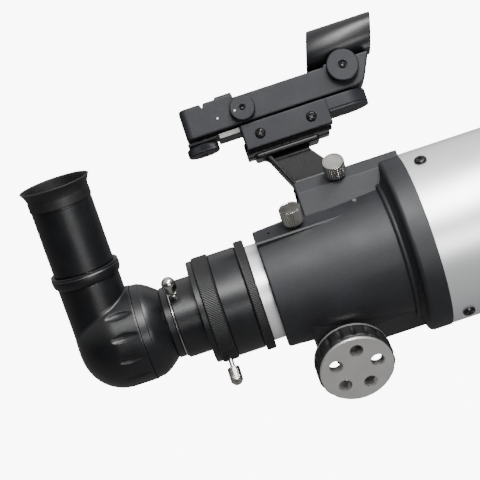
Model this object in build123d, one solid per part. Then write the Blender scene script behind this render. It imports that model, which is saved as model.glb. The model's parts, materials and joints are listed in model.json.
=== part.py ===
from build123d import *
import math
import os

# Refractor telescope of 102 mm aperture and 660 mm focal length, with a rack and pinion focuser,
# a 90 degree erecting diagonal, an eyepiece and a red dot finder.
# Millimetres. Origin: centre of the dovetail bar's underside. +X: along the optical axis towards
# the objective. +Z: up, towards the focuser's top. -Y: the side of the near focus knob.
#
# A "roll" is an angle about the optical axis, measured from +Z towards -Y. Parts that stand on
# the focuser or the diagonal are drawn with local +Z radial, then rolled and lifted onto the axis.

# ---- driving dimensions -------------------------------------------------------------------
AXIS_Z = 78.0                 # optical axis above the dovetail bar's underside
RIM = -312.0                  # rear rim of the focuser housing

TUBE_R = 53.0                 # main tube
TUBE_WALL = 1.2
TUBE_REAR = RIM + 96.5
TUBE_LENGTH = 415.5

BAR_LENGTH, BAR_WIDTH, BAR_TOP_WIDTH, BAR_HEIGHT = 200.0, 43.5, 35.5, 15.0
SADDLE_LENGTH, SADDLE_WIDTH = 90.0, 50.0
BOLT_SPACING = 50.0
QUARTER_INCH_R, QUARTER_INCH_X = 3.2, 70.0   # 1/4-20 tripod thread

CELL_R = 55.5                 # objective cell
LENS_R = 51.0
LENS_X = TUBE_REAR + 427.0    # rear edge of the lens pair
CELL_FRONT = LENS_X + 22.0
DEW_R, DEW_WALL = 60.0, 1.6
DEW_LENGTH = 108.0

HOUSING_REAR_R, HOUSING_FRONT_R = 36.0, 40.5
HOUSING_CONE = 78.0           # length of the housing's cone
COLLAR_R = 53.5
COLLAR_REAR = RIM + 80.0
PAD_Z = 38.6                  # flat pad along the housing's top
BORE_R = 30.4
CAVITY_R = 34.0

PINION_X = RIM + 33.5         # focus knob axis
PINION_Z = -37.0              # below the optical axis
GEAR_MODULE, PINION_TEETH = 0.8, 12
PITCH_R = GEAR_MODULE * PINION_TEETH / 2
SHAFT_R = 3.0
BUSH_CLEARANCE = 0.05

DRAW_R, DRAW_BORE_R = 29.5, 27.0
FOCUS_OUT, FOCUS_IN = 80.0, 5.0   # drawtube travel each way
DRAW_REAR, DRAW_FRONT = RIM - 11.0, PINION_X + FOCUS_OUT + 10.0

RACK_TOP, RACK_WIDTH = -28.8, 8.0
TWO_INCH_R = 25.45
NOSE_R = 15.875               # 1.25 inch barrel
NOSE_BORE_R = NOSE_R + 0.075

KNOB_R, KNOB_WIDTH = 23.5, 13.8
KNOB_FACE_Y = 52.0
KNOB_HOLES, KNOB_HOLE_R, KNOB_HOLE_CIRCLE_R = 5, 4.15, 13.1

SCREW_R = 2.0                 # shafts of the large thumbscrews
SCREW_CAP_R = 6.6
LOCK_X = RIM + 25.0
SHOE_NEAR_X, SHOE_FAR_X = RIM + 58.0, RIM + 40.0
CLAMP_SCREW_X = RIM - 35.5
DIAGONAL_SCREW_X = RIM - 55.6

FINDER_ROLL = -38.5
SHOE_SCREW_TILT = 56.0        # shoe screws lean this far each side of the finder
SHOE_TOP, SHOE_HALF_WIDTH = 54.7, 20.0
SHOE_REAR = RIM + 32.5
FOOT_BASE = 45.4

DIAGONAL_ROLL = -19.5
EYE_X = RIM - 101.0           # eyepiece axis
DRUM_R = 29.5
NECK_R = 19.0
SEAM_X = RIM - 80.0           # parting line of the diagonal's shells
SHELL = 2.6

CLAMP_ROLL, DIAGONAL_SCREW_ROLL = 127.5, 20.5
TUBE_SCREW_ROLLS = (0, 120, 240)


# ---- helpers ------------------------------------------------------------------------------
def turned(points):
    """A solid of revolution about X from an outline of (x, radius) points."""
    return revolve(make_face(Polyline(*points, close=True)), Axis.X, 360)


def ring(x0, x1, outer, inner=0.0):
    """A plain tube or disc about X."""
    return turned([(x0, inner), (x1, inner), (x1, outer), (x0, outer)])


def drum(x0, x1, outer, inner, edge):
    """A tube about X with its outer edges chamfered."""
    return turned([(x0, inner), (x1, inner), (x1, outer - edge), (x1 - edge, outer),
                   (x0 + edge, outer), (x0, outer - edge)])


def block(x0, x1, y0, y1, z0, z1):
    return Pos((x0 + x1) / 2, (y0 + y1) / 2, (z0 + z1) / 2) * Box(x1 - x0, y1 - y0, z1 - z0)


def post(x, y, z0, z1, radius):
    """A cylinder along Z."""
    return Pos(x, y, (z0 + z1) / 2) * Cylinder(radius, z1 - z0)


def cross_pin(x, z, y0, y1, radius):
    """A cylinder along Y."""
    return Pos(x, (y0 + y1) / 2, z) * Rot(90, 0, 0) * Cylinder(radius, y1 - y0)


def side_plate(points, y0, y1):
    """An outline of (x, z) points, extruded along Y from y0 to y1."""
    face = make_face(Polyline(*[(x, 0, z) for x, z in points], close=True))
    return Pos(0, y1, 0) * extrude(face, amount=y1 - y0, dir=(0, -1, 0))


def section(points, x0, x1):
    """An outline of (y, z) points, extruded along X from x0 to x1."""
    face = make_face(Polyline(*[(x0, y, z) for y, z in points], close=True))
    return extrude(face, amount=x1 - x0, dir=(1, 0, 0))


def on_axis(shape, roll=0.0):
    return Location((0, 0, AXIS_Z), (roll, 0, 0)) * shape


def export(name, *shapes):
    solids = [solid for shape in shapes for solid in shape.solids()]
    whole = solids[0] if len(solids) == 1 else Compound(children=solids)
    export_step(whole, f"parts/{name}.step")


def thumbscrew(x, tip, base, top, shaft_r, cap_r, edge):
    """A headed screw standing on local Z: a thin shaft under a cap with a chamfered top."""
    cap = post(x, 0, base, top, cap_r)
    cap = chamfer(cap.edges().filter_by(GeomType.CIRCLE), edge)
    return post(x, 0, tip, base + 0.5, shaft_r) + cap


def mirrored(shape):
    """The same shape on the +Y side."""
    return mirror(shape, Plane.XZ)


# ---- main tube, objective and dew shield --------------------------------------------------
TUBE_FRONT = TUBE_REAR + TUBE_LENGTH
TUBE_BORE_R = TUBE_R - TUBE_WALL
REAR_SCREW_X, FRONT_SCREW_X = TUBE_REAR + 9.5, TUBE_FRONT - 11.5
FIT = 0.05                    # gap between pieces that are fixed together
TUBE_SCREW_R, TUBE_SCREW_HEAD_R = 2.0, 3.8
SADDLE_BOLT_R = 3.0


def saddle_bolt_holes(z0, z1, radius):
    return [post(x, 0, z0, z1, radius) for x in (-BOLT_SPACING / 2, BOLT_SPACING / 2)]


def tube_screw_holes():
    cutters = []
    for x in (REAR_SCREW_X, FRONT_SCREW_X):
        for roll in TUBE_SCREW_ROLLS:
            cutters.append(on_axis(post(x, 0, 40, 60, TUBE_SCREW_R + FIT), roll))
    return cutters


def main_tube():
    tube = on_axis(ring(TUBE_REAR + FIT, TUBE_FRONT, TUBE_R, TUBE_BORE_R))
    for cutter in tube_screw_holes() + saddle_bolt_holes(15, 40, SADDLE_BOLT_R + FIT):
        tube -= cutter
    return tube


def tube_screws():
    screws = []
    for x in (REAR_SCREW_X, FRONT_SCREW_X):
        for roll in TUBE_SCREW_ROLLS:
            seat = TUBE_R + 0.02
            head = post(x, 0, seat, seat + 2.0, TUBE_SCREW_HEAD_R)
            head = fillet(head.edges().filter_by(GeomType.CIRCLE).sort_by(Axis.Z)[-1], 1.5)
            for turn in (0, 90):
                head -= Pos(x, 0, seat + 2.0) * Rot(0, 0, turn) * Box(3.6, 0.9, 2.2)
            screws.append(on_axis(head + post(x, 0, 47.5, seat + 0.1, TUBE_SCREW_R), roll))
    return screws


def tube_baffles():
    """Two knife-edge light stops pressed into the tube."""
    rings = []
    for x, aperture in ((TUBE_REAR + 130, 40.0), (TUBE_REAR + 270, 45.0)):
        lip = [(x, aperture), (x + 1.0, aperture + 1.0), (x + 1.0, TUBE_BORE_R - 1.2),
               (x + 9.0, TUBE_BORE_R - 1.2), (x + 9.0, TUBE_BORE_R - FIT), (x, TUBE_BORE_R - FIT)]
        rings.append(on_axis(turned(lip)))
    return rings


def objective_cell():
    """Cast ring: a spigot in the tube, a shoulder, and the seat that holds the lens pair."""
    seat_x, front = LENS_X - 1.0, CELL_FRONT
    outline = [(TUBE_FRONT - 18, TUBE_BORE_R - 4.0), (TUBE_FRONT - 18, TUBE_BORE_R - FIT),
               (TUBE_FRONT + FIT, TUBE_BORE_R - FIT), (TUBE_FRONT + FIT, CELL_R),
               (front, CELL_R), (front, LENS_R + FIT), (seat_x, LENS_R + FIT),
               (seat_x, LENS_R - 2.0)]
    cell = on_axis(turned(outline))
    for cutter in tube_screw_holes():
        cell -= cutter
    return cell


def ball(x, radius):
    return on_axis(Pos(x, 0, 0) * Sphere(radius))


def lens_blank(x0, x1):
    return on_axis(ring(x0, x1, LENS_R - FIT))


def flint_lens():
    """Rear element: nearly flat behind, hollow in front."""
    hollow = 320.0
    return lens_blank(LENS_X, LENS_X + 9.0) - ball(LENS_X + 5.0 + hollow, hollow)


def crown_lens():
    """Front element: bulging both ways, its rear face just clear of the flint's hollow."""
    rear, front = 330.0, 400.0
    blank = lens_blank(LENS_X + 5.2, LENS_X + 18.0)
    return blank & ball(LENS_X + 5.2 + rear, rear) & ball(LENS_X + 17.0 - front, front)


def lens_retaining_ring():
    return on_axis(drum(LENS_X + 14.2, LENS_X + 18.2, LENS_R - FIT, LENS_R - 2.5, 0.4))


def dew_shield():
    """Shade with a rear flange and a thick sleeve that fits over the cell."""
    rear = TUBE_FRONT - 6.0
    front = rear + DEW_LENGTH
    inner = DEW_R - DEW_WALL
    outline = [(rear, TUBE_R + 0.4), (TUBE_FRONT - 0.1, TUBE_R + 0.4), (TUBE_FRONT - 0.1, CELL_R + FIT),
               (CELL_FRONT, CELL_R + FIT), (CELL_FRONT, inner), (front, inner),
               (front, DEW_R - 0.5), (front - 0.5, DEW_R), (rear + 1.2, DEW_R), (rear, DEW_R - 1.2)]
    return on_axis(turned(outline))


# ---- saddle and dovetail bar ---------------------------------------------------------------
def dovetail_bar():
    half, top = BAR_WIDTH / 2, BAR_TOP_WIDTH / 2
    outline = [(-half, 0), (half, 0), (half, 1.5), (top, BAR_HEIGHT), (-top, BAR_HEIGHT), (-half, 1.5)]
    bar = section(outline, -BAR_LENGTH / 2, BAR_LENGTH / 2)
    bar -= post(QUARTER_INCH_X, 0, -1, BAR_HEIGHT + 1, QUARTER_INCH_R)
    for hole in saddle_bolt_holes(-1, BAR_HEIGHT + 1, SADDLE_BOLT_R + FIT):
        bar -= hole
    for pocket in saddle_bolt_holes(-1, 7, 5.6):
        bar -= pocket
    return bar


def tube_saddle():
    """Cast block hollowed to the tube's curve."""
    half = SADDLE_WIDTH / 2
    body = block(-SADDLE_LENGTH / 2, SADDLE_LENGTH / 2, -half, half, BAR_HEIGHT + 0.02, 33)
    body = chamfer(body.edges().filter_by(Axis.Z), 6)
    body -= on_axis(ring(-100, 100, TUBE_R + FIT))
    for hole in saddle_bolt_holes(0, 60, SADDLE_BOLT_R + FIT):
        body -= hole
    return body


def dovetail_bolts():
    """Socket head bolts from the bar into nuts inside the tube."""
    bolts = []
    inside = AXIS_Z - TUBE_BORE_R
    for x in (-BOLT_SPACING / 2, BOLT_SPACING / 2):
        bolt = post(x, 0, 1.0, 6.98, 5.0) + post(x, 0, 6.9, inside + 5.2, SADDLE_BOLT_R)
        bolt -= Pos(x, 0, 1.0) * extrude(RegularPolygon(2.9, 6), amount=3.5)
        nut = Pos(x, 0, inside + 0.6) * extrude(RegularPolygon(5.5, 6), amount=4.5)
        nut -= post(x, 0, inside, inside + 6, SADDLE_BOLT_R + FIT)
        bolts += [bolt, nut]
    return bolts


# ---- focuser housing -----------------------------------------------------------------------
BLOCK_BOTTOM = -47.0
BOSS_R, BOSS_Y = 9.9, 36.5
BUSH_R, BUSH_OUTER_Y, BUSH_INNER_Y = 5.0, 36.0, 13.0
SPIGOT_R = TUBE_BORE_R - FIT
SLOT_HALF_WIDTH = RACK_WIDTH / 2 + 0.6
GRUB_X, GRUB_ROLL, GRUB_R = RIM + 63.0, -4.0, 1.25
COVER_SCREW_R = 1.2
COVER_SCREW_PLACES = [(PINION_X + dx, dy) for dx in (-10.5, 10.5) for dy in (-10.5, 10.5)]


def housing_shell():
    """Cone, flare, collar and spigot as one turned outline, still solid."""
    cone_end = RIM + HOUSING_CONE
    flare_top = COLLAR_REAR + 3.0
    outline = [Polyline((RIM, 0), (RIM, HOUSING_REAR_R - 1), (RIM + 1, HOUSING_REAR_R),
                        (cone_end, HOUSING_FRONT_R)),
               ThreePointArc((cone_end, HOUSING_FRONT_R), (cone_end + 3.3, HOUSING_FRONT_R + 4.2),
                             (flare_top, COLLAR_R - 2.6)),
               ThreePointArc((flare_top, COLLAR_R - 2.6), (flare_top + 0.7, COLLAR_R - 0.8),
                             (flare_top + 2.4, COLLAR_R)),
               Polyline((flare_top + 2.4, COLLAR_R), (TUBE_REAR - 0.5, COLLAR_R),
                        (TUBE_REAR, COLLAR_R - 0.5), (TUBE_REAR, SPIGOT_R),
                        (TUBE_REAR + 17, SPIGOT_R), (TUBE_REAR + 17, 0), (RIM, 0))]
    return revolve(make_face(Curve() + outline), Axis.X, 360)


def housing_cavity():
    """Bore at the rim, a wider cavity, a guide rib, and the way into the main tube."""
    rib = RIM + 62
    return turned([(RIM - 1, 0), (RIM - 1, BORE_R), (RIM + 14, BORE_R), (RIM + 14, CAVITY_R),
                   (rib, CAVITY_R), (rib, BORE_R), (rib + 10, BORE_R), (rib + 10, CAVITY_R),
                   (COLLAR_REAR, CAVITY_R), (COLLAR_REAR + 5, 45), (TUBE_REAR + 18, 45),
                   (TUBE_REAR + 18, 0)])


def pinion_block():
    """Tapering block under the cone, with a cross boss round the pinion shaft."""
    def face(x, half_width):
        points = [(-half_width, -6), (-half_width, -24.5), (-20, BLOCK_BOTTOM),
                  (20, BLOCK_BOTTOM), (half_width, -24.5), (half_width, -6)]
        return make_face(Polyline(*[(x, y, z) for y, z in points], close=True))
    body = loft([face(RIM + 16, 35.6), face(COLLAR_REAR + 4, 31.5)], ruled=True)
    body = fillet([e for e in body.edges() if abs(e.tangent_at(0.5).X) > 0.9 and e.center().Z < -10], 3.0)
    rear = body.faces().sort_by(Axis.X)[0]
    body = fillet([e for e in rear.edges() if e.center().Z < -8], 1.5)
    return body + cross_pin(PINION_X, PINION_Z, -BOSS_Y, BOSS_Y, BOSS_R)


def finder_shoe():
    """Raised dovetail shoe that merges into the collar."""
    outline = [(-SHOE_HALF_WIDTH, 28), (-SHOE_HALF_WIDTH, 47.3), (-15, SHOE_TOP),
               (15, SHOE_TOP), (SHOE_HALF_WIDTH, 47.3), (SHOE_HALF_WIDTH, 28)]
    body = section(outline, SHOE_REAR, TUBE_REAR)
    body = fillet([e for e in body.edges().filter_by(Axis.X) if e.center().Z > 40], 1.0)
    rear = body.faces().sort_by(Axis.X)[0]
    body = fillet([e for e in rear.edges() if e.center().Z > 30], 0.6)
    slot = [(-15.7, 45.0), (15.7, 45.0), (12.2, SHOE_TOP + 0.1), (-12.2, SHOE_TOP + 0.1)]
    return Rot(FINDER_ROLL, 0, 0) * body, Rot(FINDER_ROLL, 0, 0) * section(slot, SHOE_REAR - 1, RIM + 86)


def shoe_screw_place(shape, side):
    """From local +Z to the shoe's chamfered face: side is -1 near, +1 far."""
    place = Pos(0, side * 17.5, 51.0) * Rot(-side * SHOE_SCREW_TILT, 0, 0)
    return Rot(FINDER_ROLL, 0, 0) * place * shape


def focuser_housing():
    shoe, slot = finder_shoe()
    pad = block(RIM, RIM + 56, -7, 7, 20, PAD_Z)
    pad = chamfer(pad.edges().filter_by(Axis.X).group_by(Axis.Z)[-1], 0.8)
    housing = housing_shell() + pad + pinion_block() + shoe
    housing -= slot
    housing -= housing_cavity()
    for x0, x1 in ((RIM - 1, RIM + 15), (RIM + 61, RIM + 73)):
        housing -= block(x0, x1, -SLOT_HALF_WIDTH, SLOT_HALF_WIDTH, -33.4, -20)
    housing -= cross_pin(PINION_X, PINION_Z, -BUSH_INNER_Y, BUSH_INNER_Y, 7.0)
    housing -= cross_pin(PINION_X, PINION_Z, -BOSS_Y - 1, BOSS_Y + 1, BUSH_R + FIT)
    housing -= block(PINION_X - 8, PINION_X + 8, -8, 8, BLOCK_BOTTOM - 1, PINION_Z - 3)
    for x, y in COVER_SCREW_PLACES:
        housing -= post(x, y, BLOCK_BOTTOM - 1, BLOCK_BOTTOM + 7, COVER_SCREW_R + FIT)
    housing -= post(LOCK_X, 0, 25, 45, SCREW_R + BUSH_CLEARANCE)
    housing -= post(RIM + 9, 0, 36, 40, 0.8)
    housing -= Rot(GRUB_ROLL, 0, 0) * post(GRUB_X, 0, 36.5, 45, GRUB_R + FIT)
    for x, side in ((SHOE_NEAR_X, -1), (SHOE_FAR_X, 1)):
        housing -= shoe_screw_place(post(x, 0, -7, 10, SCREW_R + BUSH_CLEARANCE), side)
    housing = on_axis(housing)
    for cutter in tube_screw_holes():
        housing -= cutter
    return housing


def shoe_grub_screw():
    screw = post(GRUB_X, 0, 37, 40.2, GRUB_R)
    screw -= Pos(GRUB_X, 0, 39.2) * extrude(RegularPolygon(0.75, 6), amount=2)
    return on_axis(screw, GRUB_ROLL)


def pinion_cover():
    plate = block(PINION_X - 13, PINION_X + 13, -13, 13, BLOCK_BOTTOM - 2, BLOCK_BOTTOM - 0.02)
    plate = fillet(plate.edges().filter_by(Axis.Z), 3)
    for x, y in COVER_SCREW_PLACES:
        plate -= post(x, y, BLOCK_BOTTOM - 3, BLOCK_BOTTOM, COVER_SCREW_R + FIT)
    return on_axis(plate)


def pinion_cover_screws():
    under = BLOCK_BOTTOM - 2.02
    screws = []
    for x, y in COVER_SCREW_PLACES:
        head = post(x, y, under - 1.2, under, 2.2)
        head = chamfer(head.edges().filter_by(GeomType.CIRCLE).sort_by(Axis.Z)[0], 0.5)
        head -= Pos(x, y, under - 1.0) * (Box(2.8, 0.6, 1.0) + Box(0.6, 2.8, 1.0))
        screws.append(on_axis(head + post(x, y, under - 0.1, BLOCK_BOTTOM + 5, COVER_SCREW_R)))
    return screws


def pinion_bushes():
    bush = cross_pin(PINION_X, PINION_Z, -BUSH_OUTER_Y, -BUSH_INNER_Y - 0.2, BUSH_R)
    bush -= cross_pin(PINION_X, PINION_Z, -40, 0, SHAFT_R + BUSH_CLEARANCE)
    return [on_axis(bush), on_axis(mirrored(bush))]


def drawtube_glides():
    """Four low-friction strips at each of the housing's two guide bores."""
    strips = []
    for x in (RIM + 2, RIM + 63):
        for roll in (45, 135, 225, 315):
            sector = ring(x, x + 8, BORE_R - FIT, DRAW_R + 0.3)
            sector = sector & block(x - 1, x + 9, -9, 9, 20, 40)
            strips.append(on_axis(sector, roll))
    return strips


# ---- thumbscrews ---------------------------------------------------------------------------
def focus_lock_screw():
    return on_axis(thumbscrew(LOCK_X, DRAW_R + 0.35, 40.0, 51.0, SCREW_R, SCREW_CAP_R, 0.9))


def shoe_screw(x, side):
    screw = thumbscrew(x, -3.35, 2.9, 12.9, SCREW_R, SCREW_CAP_R, 0.9)
    return Location((0, 0, AXIS_Z)) * shoe_screw_place(screw, side)


def adapter_clamp_screw():
    return on_axis(thumbscrew(CLAMP_SCREW_X, 26.2, 38.6, 49.3, 1.5, 3.8, 0.6), CLAMP_ROLL)


def diagonal_clamp_screw():
    shaft = post(DIAGONAL_SCREW_X, 0, 17.3, 29.0, 1.5)
    cap = post(DIAGONAL_SCREW_X, 0, 28.5, 41.5, 4.0)
    cap = fillet(cap.edges().filter_by(GeomType.CIRCLE).sort_by(Axis.Z)[-1], 3.6)
    cap = chamfer(cap.edges().filter_by(GeomType.CIRCLE).sort_by(Axis.Z)[0], 1.5)
    return on_axis(shaft + cap, DIAGONAL_SCREW_ROLL)


# ---- drawtube and adapters -----------------------------------------------------------------
RACK_REAR, RACK_FRONT = PINION_X - FOCUS_IN - 10.0, DRAW_FRONT - 1.5
RACK_PITCH = math.pi * GEAR_MODULE
BACKLASH = 0.1
PITCH_LINE_Z = PINION_Z + PITCH_R
PRESSURE_ANGLE = math.radians(20)
RACK_SCREW_PLACES = (RACK_REAR + 6, RACK_FRONT - 6)


def drawtube():
    tube = ring(DRAW_REAR, DRAW_FRONT, DRAW_R, DRAW_BORE_R)
    half = RACK_WIDTH / 2 + FIT
    tube -= block(RACK_REAR - FIT, RACK_FRONT + 1, -half, half, -31, RACK_TOP + 0.02)
    for x in RACK_SCREW_PLACES:
        tube -= post(x, 0, -32, -24, 1.0 + FIT)
    return on_axis(tube)


def focus_rack():
    half = (RACK_PITCH / 2 - BACKLASH) / 2
    slope = math.tan(PRESSURE_ANGLE)
    root_z, tip_z = PITCH_LINE_Z + 1.0, PITCH_LINE_Z - 0.56
    root_half = half + slope * (root_z - PITCH_LINE_Z)
    tip_half = half - slope * (PITCH_LINE_Z - tip_z)
    points = [(RACK_REAR, RACK_TOP), (RACK_REAR, root_z)]
    first = math.ceil((RACK_REAR + 2 - PINION_X) / RACK_PITCH)
    last = math.floor((RACK_FRONT - 2 - PINION_X) / RACK_PITCH)
    for tooth in range(first, last):
        x = PINION_X + (tooth + 0.5) * RACK_PITCH
        points += [(x - root_half, root_z), (x - tip_half, tip_z),
                   (x + tip_half, tip_z), (x + root_half, root_z)]
    points += [(RACK_FRONT, root_z), (RACK_FRONT, RACK_TOP)]
    rack = side_plate(points, -RACK_WIDTH / 2, RACK_WIDTH / 2)
    for x in RACK_SCREW_PLACES:
        rack -= post(x, 0, -34, -28, 1.0 + FIT)
        rack -= post(x, 0, -34, -30.4, 1.9 + FIT)
    return on_axis(rack)


def rack_screws():
    screws = [post(x, 0, -31.1, -30.42, 1.9) + post(x, 0, -30.5, -25.5, 1.0)
              for x in RACK_SCREW_PLACES]
    return [on_axis(screw) for screw in screws]


RING_FRONT, RING_REAR = RIM - 7.0, RIM - 13.0
BARREL_REAR, CLAMP_REAR = RIM - 30.0, RIM - 40.0
FLANGE_REAR = RIM - 43.6
HOLDER_REAR = RIM - 58.3


def drawtube_end_ring():
    outline = [(RING_REAR, DRAW_BORE_R), (RING_REAR, 33.2), (RING_REAR + 0.8, 34.0),
               (RING_FRONT - 0.8, 34.0), (RING_FRONT, 33.2), (RING_FRONT, DRAW_R + FIT),
               (DRAW_REAR - FIT, DRAW_R + FIT), (DRAW_REAR - FIT, DRAW_BORE_R)]
    return on_axis(turned(outline))


def two_inch_holder():
    return on_axis(drum(BARREL_REAR, RING_REAR - FIT, 31.6, TWO_INCH_R, 0.5))


def clamp_ring():
    body = drum(CLAMP_REAR, BARREL_REAR - FIT, 32.7, TWO_INCH_R, 0.6)
    body -= Rot(CLAMP_ROLL, 0, 0) * post(CLAMP_SCREW_X, 0, 20, 40, 1.5 + BUSH_CLEARANCE)
    return on_axis(body)


def step_down_adapter():
    """Flange and sleeve in the 2 inch holder, with the 1.25 inch tube behind."""
    sleeve_front, sleeve_r = RIM - 16, TWO_INCH_R - FIT
    outline = [(HOLDER_REAR, NOSE_BORE_R), (HOLDER_REAR, 23.0), (HOLDER_REAR + 0.5, 23.5),
               (FLANGE_REAR, 23.5), (FLANGE_REAR, 31.0), (FLANGE_REAR + 0.5, 31.5),
               (CLAMP_REAR - 0.3, 31.5), (CLAMP_REAR - 0.3, sleeve_r), (sleeve_front, sleeve_r),
               (sleeve_front, 22.5), (FLANGE_REAR + 2, 22.5), (FLANGE_REAR + 2, NOSE_BORE_R)]
    body = turned(outline)
    body -= ring(DIAGONAL_SCREW_X - 2.2, DIAGONAL_SCREW_X + 2.2, 17.4)
    body -= Rot(DIAGONAL_SCREW_ROLL, 0, 0) * post(DIAGONAL_SCREW_X, 0, 14, 30, 1.5 + BUSH_CLEARANCE)
    return on_axis(body)


def compression_band():
    """Split brass ring that the screw presses onto the diagonal's nose."""
    x = DIAGONAL_SCREW_X
    band = ring(x - 2.0, x + 2.0, 17.0, 16.2)
    band -= block(x - 3, x + 3, -1.5, 1.5, -20, -10)
    return on_axis(band, DIAGONAL_SCREW_ROLL)


# ---- pinion and focus knobs ----------------------------------------------------------------
def involute(radius, base):
    angle = math.acos(min(1, base / radius))
    return math.tan(angle) - angle


def pinion_gear():
    base = PITCH_R * math.cos(PRESSURE_ANGLE)
    root, tip = PITCH_R - 0.85, PITCH_R + 0.72
    half = (RACK_PITCH / 2 - BACKLASH) / 2 / PITCH_R + involute(PITCH_R, base)
    radii = [base + (tip - base) * step / 5 for step in range(6)]
    flank = [(root, half)] + [(r, half - involute(r, base)) for r in radii]
    points = []
    for tooth in range(PINION_TEETH):
        centre = 2 * math.pi * tooth / PINION_TEETH
        for r, angle in flank:
            points.append((r, centre - angle))
        for r, angle in reversed(flank):
            points.append((r, centre + angle))
    outline = [(PINION_X + r * math.sin(a), PINION_Z + r * math.cos(a)) for r, a in points]
    gear = side_plate(outline, -RACK_WIDTH / 2 - 1, RACK_WIDTH / 2 + 1)
    return on_axis(gear - cross_pin(PINION_X, PINION_Z, -9, 9, SHAFT_R + FIT))


def pinion_shaft():
    end = KNOB_FACE_Y - 2.4
    shaft = cross_pin(PINION_X, PINION_Z, -end, end, SHAFT_R)
    return on_axis(chamfer(shaft.edges().filter_by(GeomType.CIRCLE), 0.4))


HUB_R = 20.0                  # hub that carries the rubber grip
FRONT_RIM_R, FRONT_RIM = 22.3, 1.6
BACK_RIM_R, BACK_RIM = 23.1, 1.5
KNOB_WEB = 5.8                # thickness of the pierced face
KNOB_BOSS_R, KNOB_HOLLOW_R = 8.4, 17.9
FIRST_HOLE = 10.5             # degrees from the top, towards +X


def focus_knob():
    """Spool with a rim at the front and at the back, hollow behind its pierced face."""
    back = KNOB_FACE_Y - KNOB_WIDTH
    knob = cross_pin(PINION_X, PINION_Z, -KNOB_FACE_Y + 0.5, -back, HUB_R)
    knob += cross_pin(PINION_X, PINION_Z, -back - BACK_RIM, -back, BACK_RIM_R)
    face = cross_pin(PINION_X, PINION_Z, -KNOB_FACE_Y, -KNOB_FACE_Y + FRONT_RIM, FRONT_RIM_R)
    knob += chamfer(face.edges().filter_by(GeomType.CIRCLE).sort_by(Axis.Y)[0], 0.6)
    hollow = cross_pin(PINION_X, PINION_Z, -KNOB_FACE_Y + KNOB_WEB, -back + 1, KNOB_HOLLOW_R)
    knob -= hollow - cross_pin(PINION_X, PINION_Z, -KNOB_FACE_Y, -back + 2, KNOB_BOSS_R)
    for hole in range(KNOB_HOLES):
        angle = math.radians(FIRST_HOLE + 360 / KNOB_HOLES * hole)
        knob -= cross_pin(PINION_X + KNOB_HOLE_CIRCLE_R * math.sin(angle),
                          PINION_Z + KNOB_HOLE_CIRCLE_R * math.cos(angle),
                          -KNOB_FACE_Y - 1, -back + 1, KNOB_HOLE_R)
    return on_axis(knob - cross_pin(PINION_X, PINION_Z, -KNOB_FACE_Y + 2.2, -back + 1, SHAFT_R + FIT))


def knob_grip():
    back = KNOB_FACE_Y - KNOB_WIDTH
    grip = cross_pin(PINION_X, PINION_Z, -KNOB_FACE_Y + FRONT_RIM + FIT, -back - BACK_RIM - FIT, KNOB_R)
    grip = chamfer(grip.edges().filter_by(GeomType.CIRCLE), 0.5)
    return on_axis(grip - cross_pin(PINION_X, PINION_Z, -60, -30, HUB_R + FIT))


# ---- diagonal ------------------------------------------------------------------------------
COLLAR_LOW, COLLAR_HIGH = 41.4, 49.0
COLLAR_HALF = 21.0
NECK_BORE_R = NECK_R - SHELL
SHOULDER_FRONT, SHOULDER_REAR = RIM - 59.4, RIM - 64.0


def drum_outline(offset):
    """Outline of the rounded drum, drawn inwards by offset, from the seam to the rear."""
    back = EYE_X - NECK_R + 0.35 + offset
    radius = DRUM_R - offset
    corner = 26.0 - offset
    middle = (back + corner * (1 - math.sqrt(0.5)), radius - corner * (1 - math.sqrt(0.5)))
    return [Line((SEAM_X, 0), (SEAM_X, radius)),
            Line((SEAM_X, radius), (back + corner, radius)),
            ThreePointArc((back + corner, radius), middle, (back, radius - corner)),
            Line((back, radius - corner), (back, 0)),
            Line((back, 0), (SEAM_X, 0))]


def diagonal_rear_shell():
    drum_solid = revolve(make_face(Curve() + drum_outline(0)), Axis.X, 360)
    neck = post(EYE_X, 0, 0, COLLAR_LOW, NECK_R)
    inside = revolve(make_face(Curve() + drum_outline(SHELL)), Axis.X, 360)
    shell = (drum_solid + neck) - inside - ring(SEAM_X - 1, SEAM_X + 1, DRUM_R - SHELL)
    shell -= post(EYE_X, 0, 5, COLLAR_LOW + 1, NECK_BORE_R)
    return on_axis(shell, DIAGONAL_ROLL)


def diagonal_front_shell():
    """Domed cone from the seam to the shoulder."""
    outline = [Line((SEAM_X + 0.1, 17.0), (SEAM_X + 0.1, DRUM_R - 0.4)),
               ThreePointArc((SEAM_X + 0.1, DRUM_R - 0.4), (SEAM_X + 9.0, DRUM_R - 3.4),
                             (SHOULDER_REAR - 0.1, 21.0)),
               Line((SHOULDER_REAR - 0.1, 21.0), (SHOULDER_REAR - 0.1, 17.0)),
               Line((SHOULDER_REAR - 0.1, 17.0), (SEAM_X + 0.1, 17.0))]
    return on_axis(revolve(make_face(Curve() + outline), Axis.X, 360), DIAGONAL_ROLL)


def diagonal_shoulder_ring():
    return on_axis(drum(SHOULDER_REAR, SHOULDER_FRONT, 21.8, 16.0, 0.6), DIAGONAL_ROLL)


def diagonal_nose():
    nose = turned([(SEAM_X + 2, 14.0), (SEAM_X + 2, NOSE_R), (RIM - 30.6, NOSE_R),
                   (RIM - 30, NOSE_R - 0.6), (RIM - 30, 14.0)])
    return on_axis(nose, DIAGONAL_ROLL)


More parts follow.
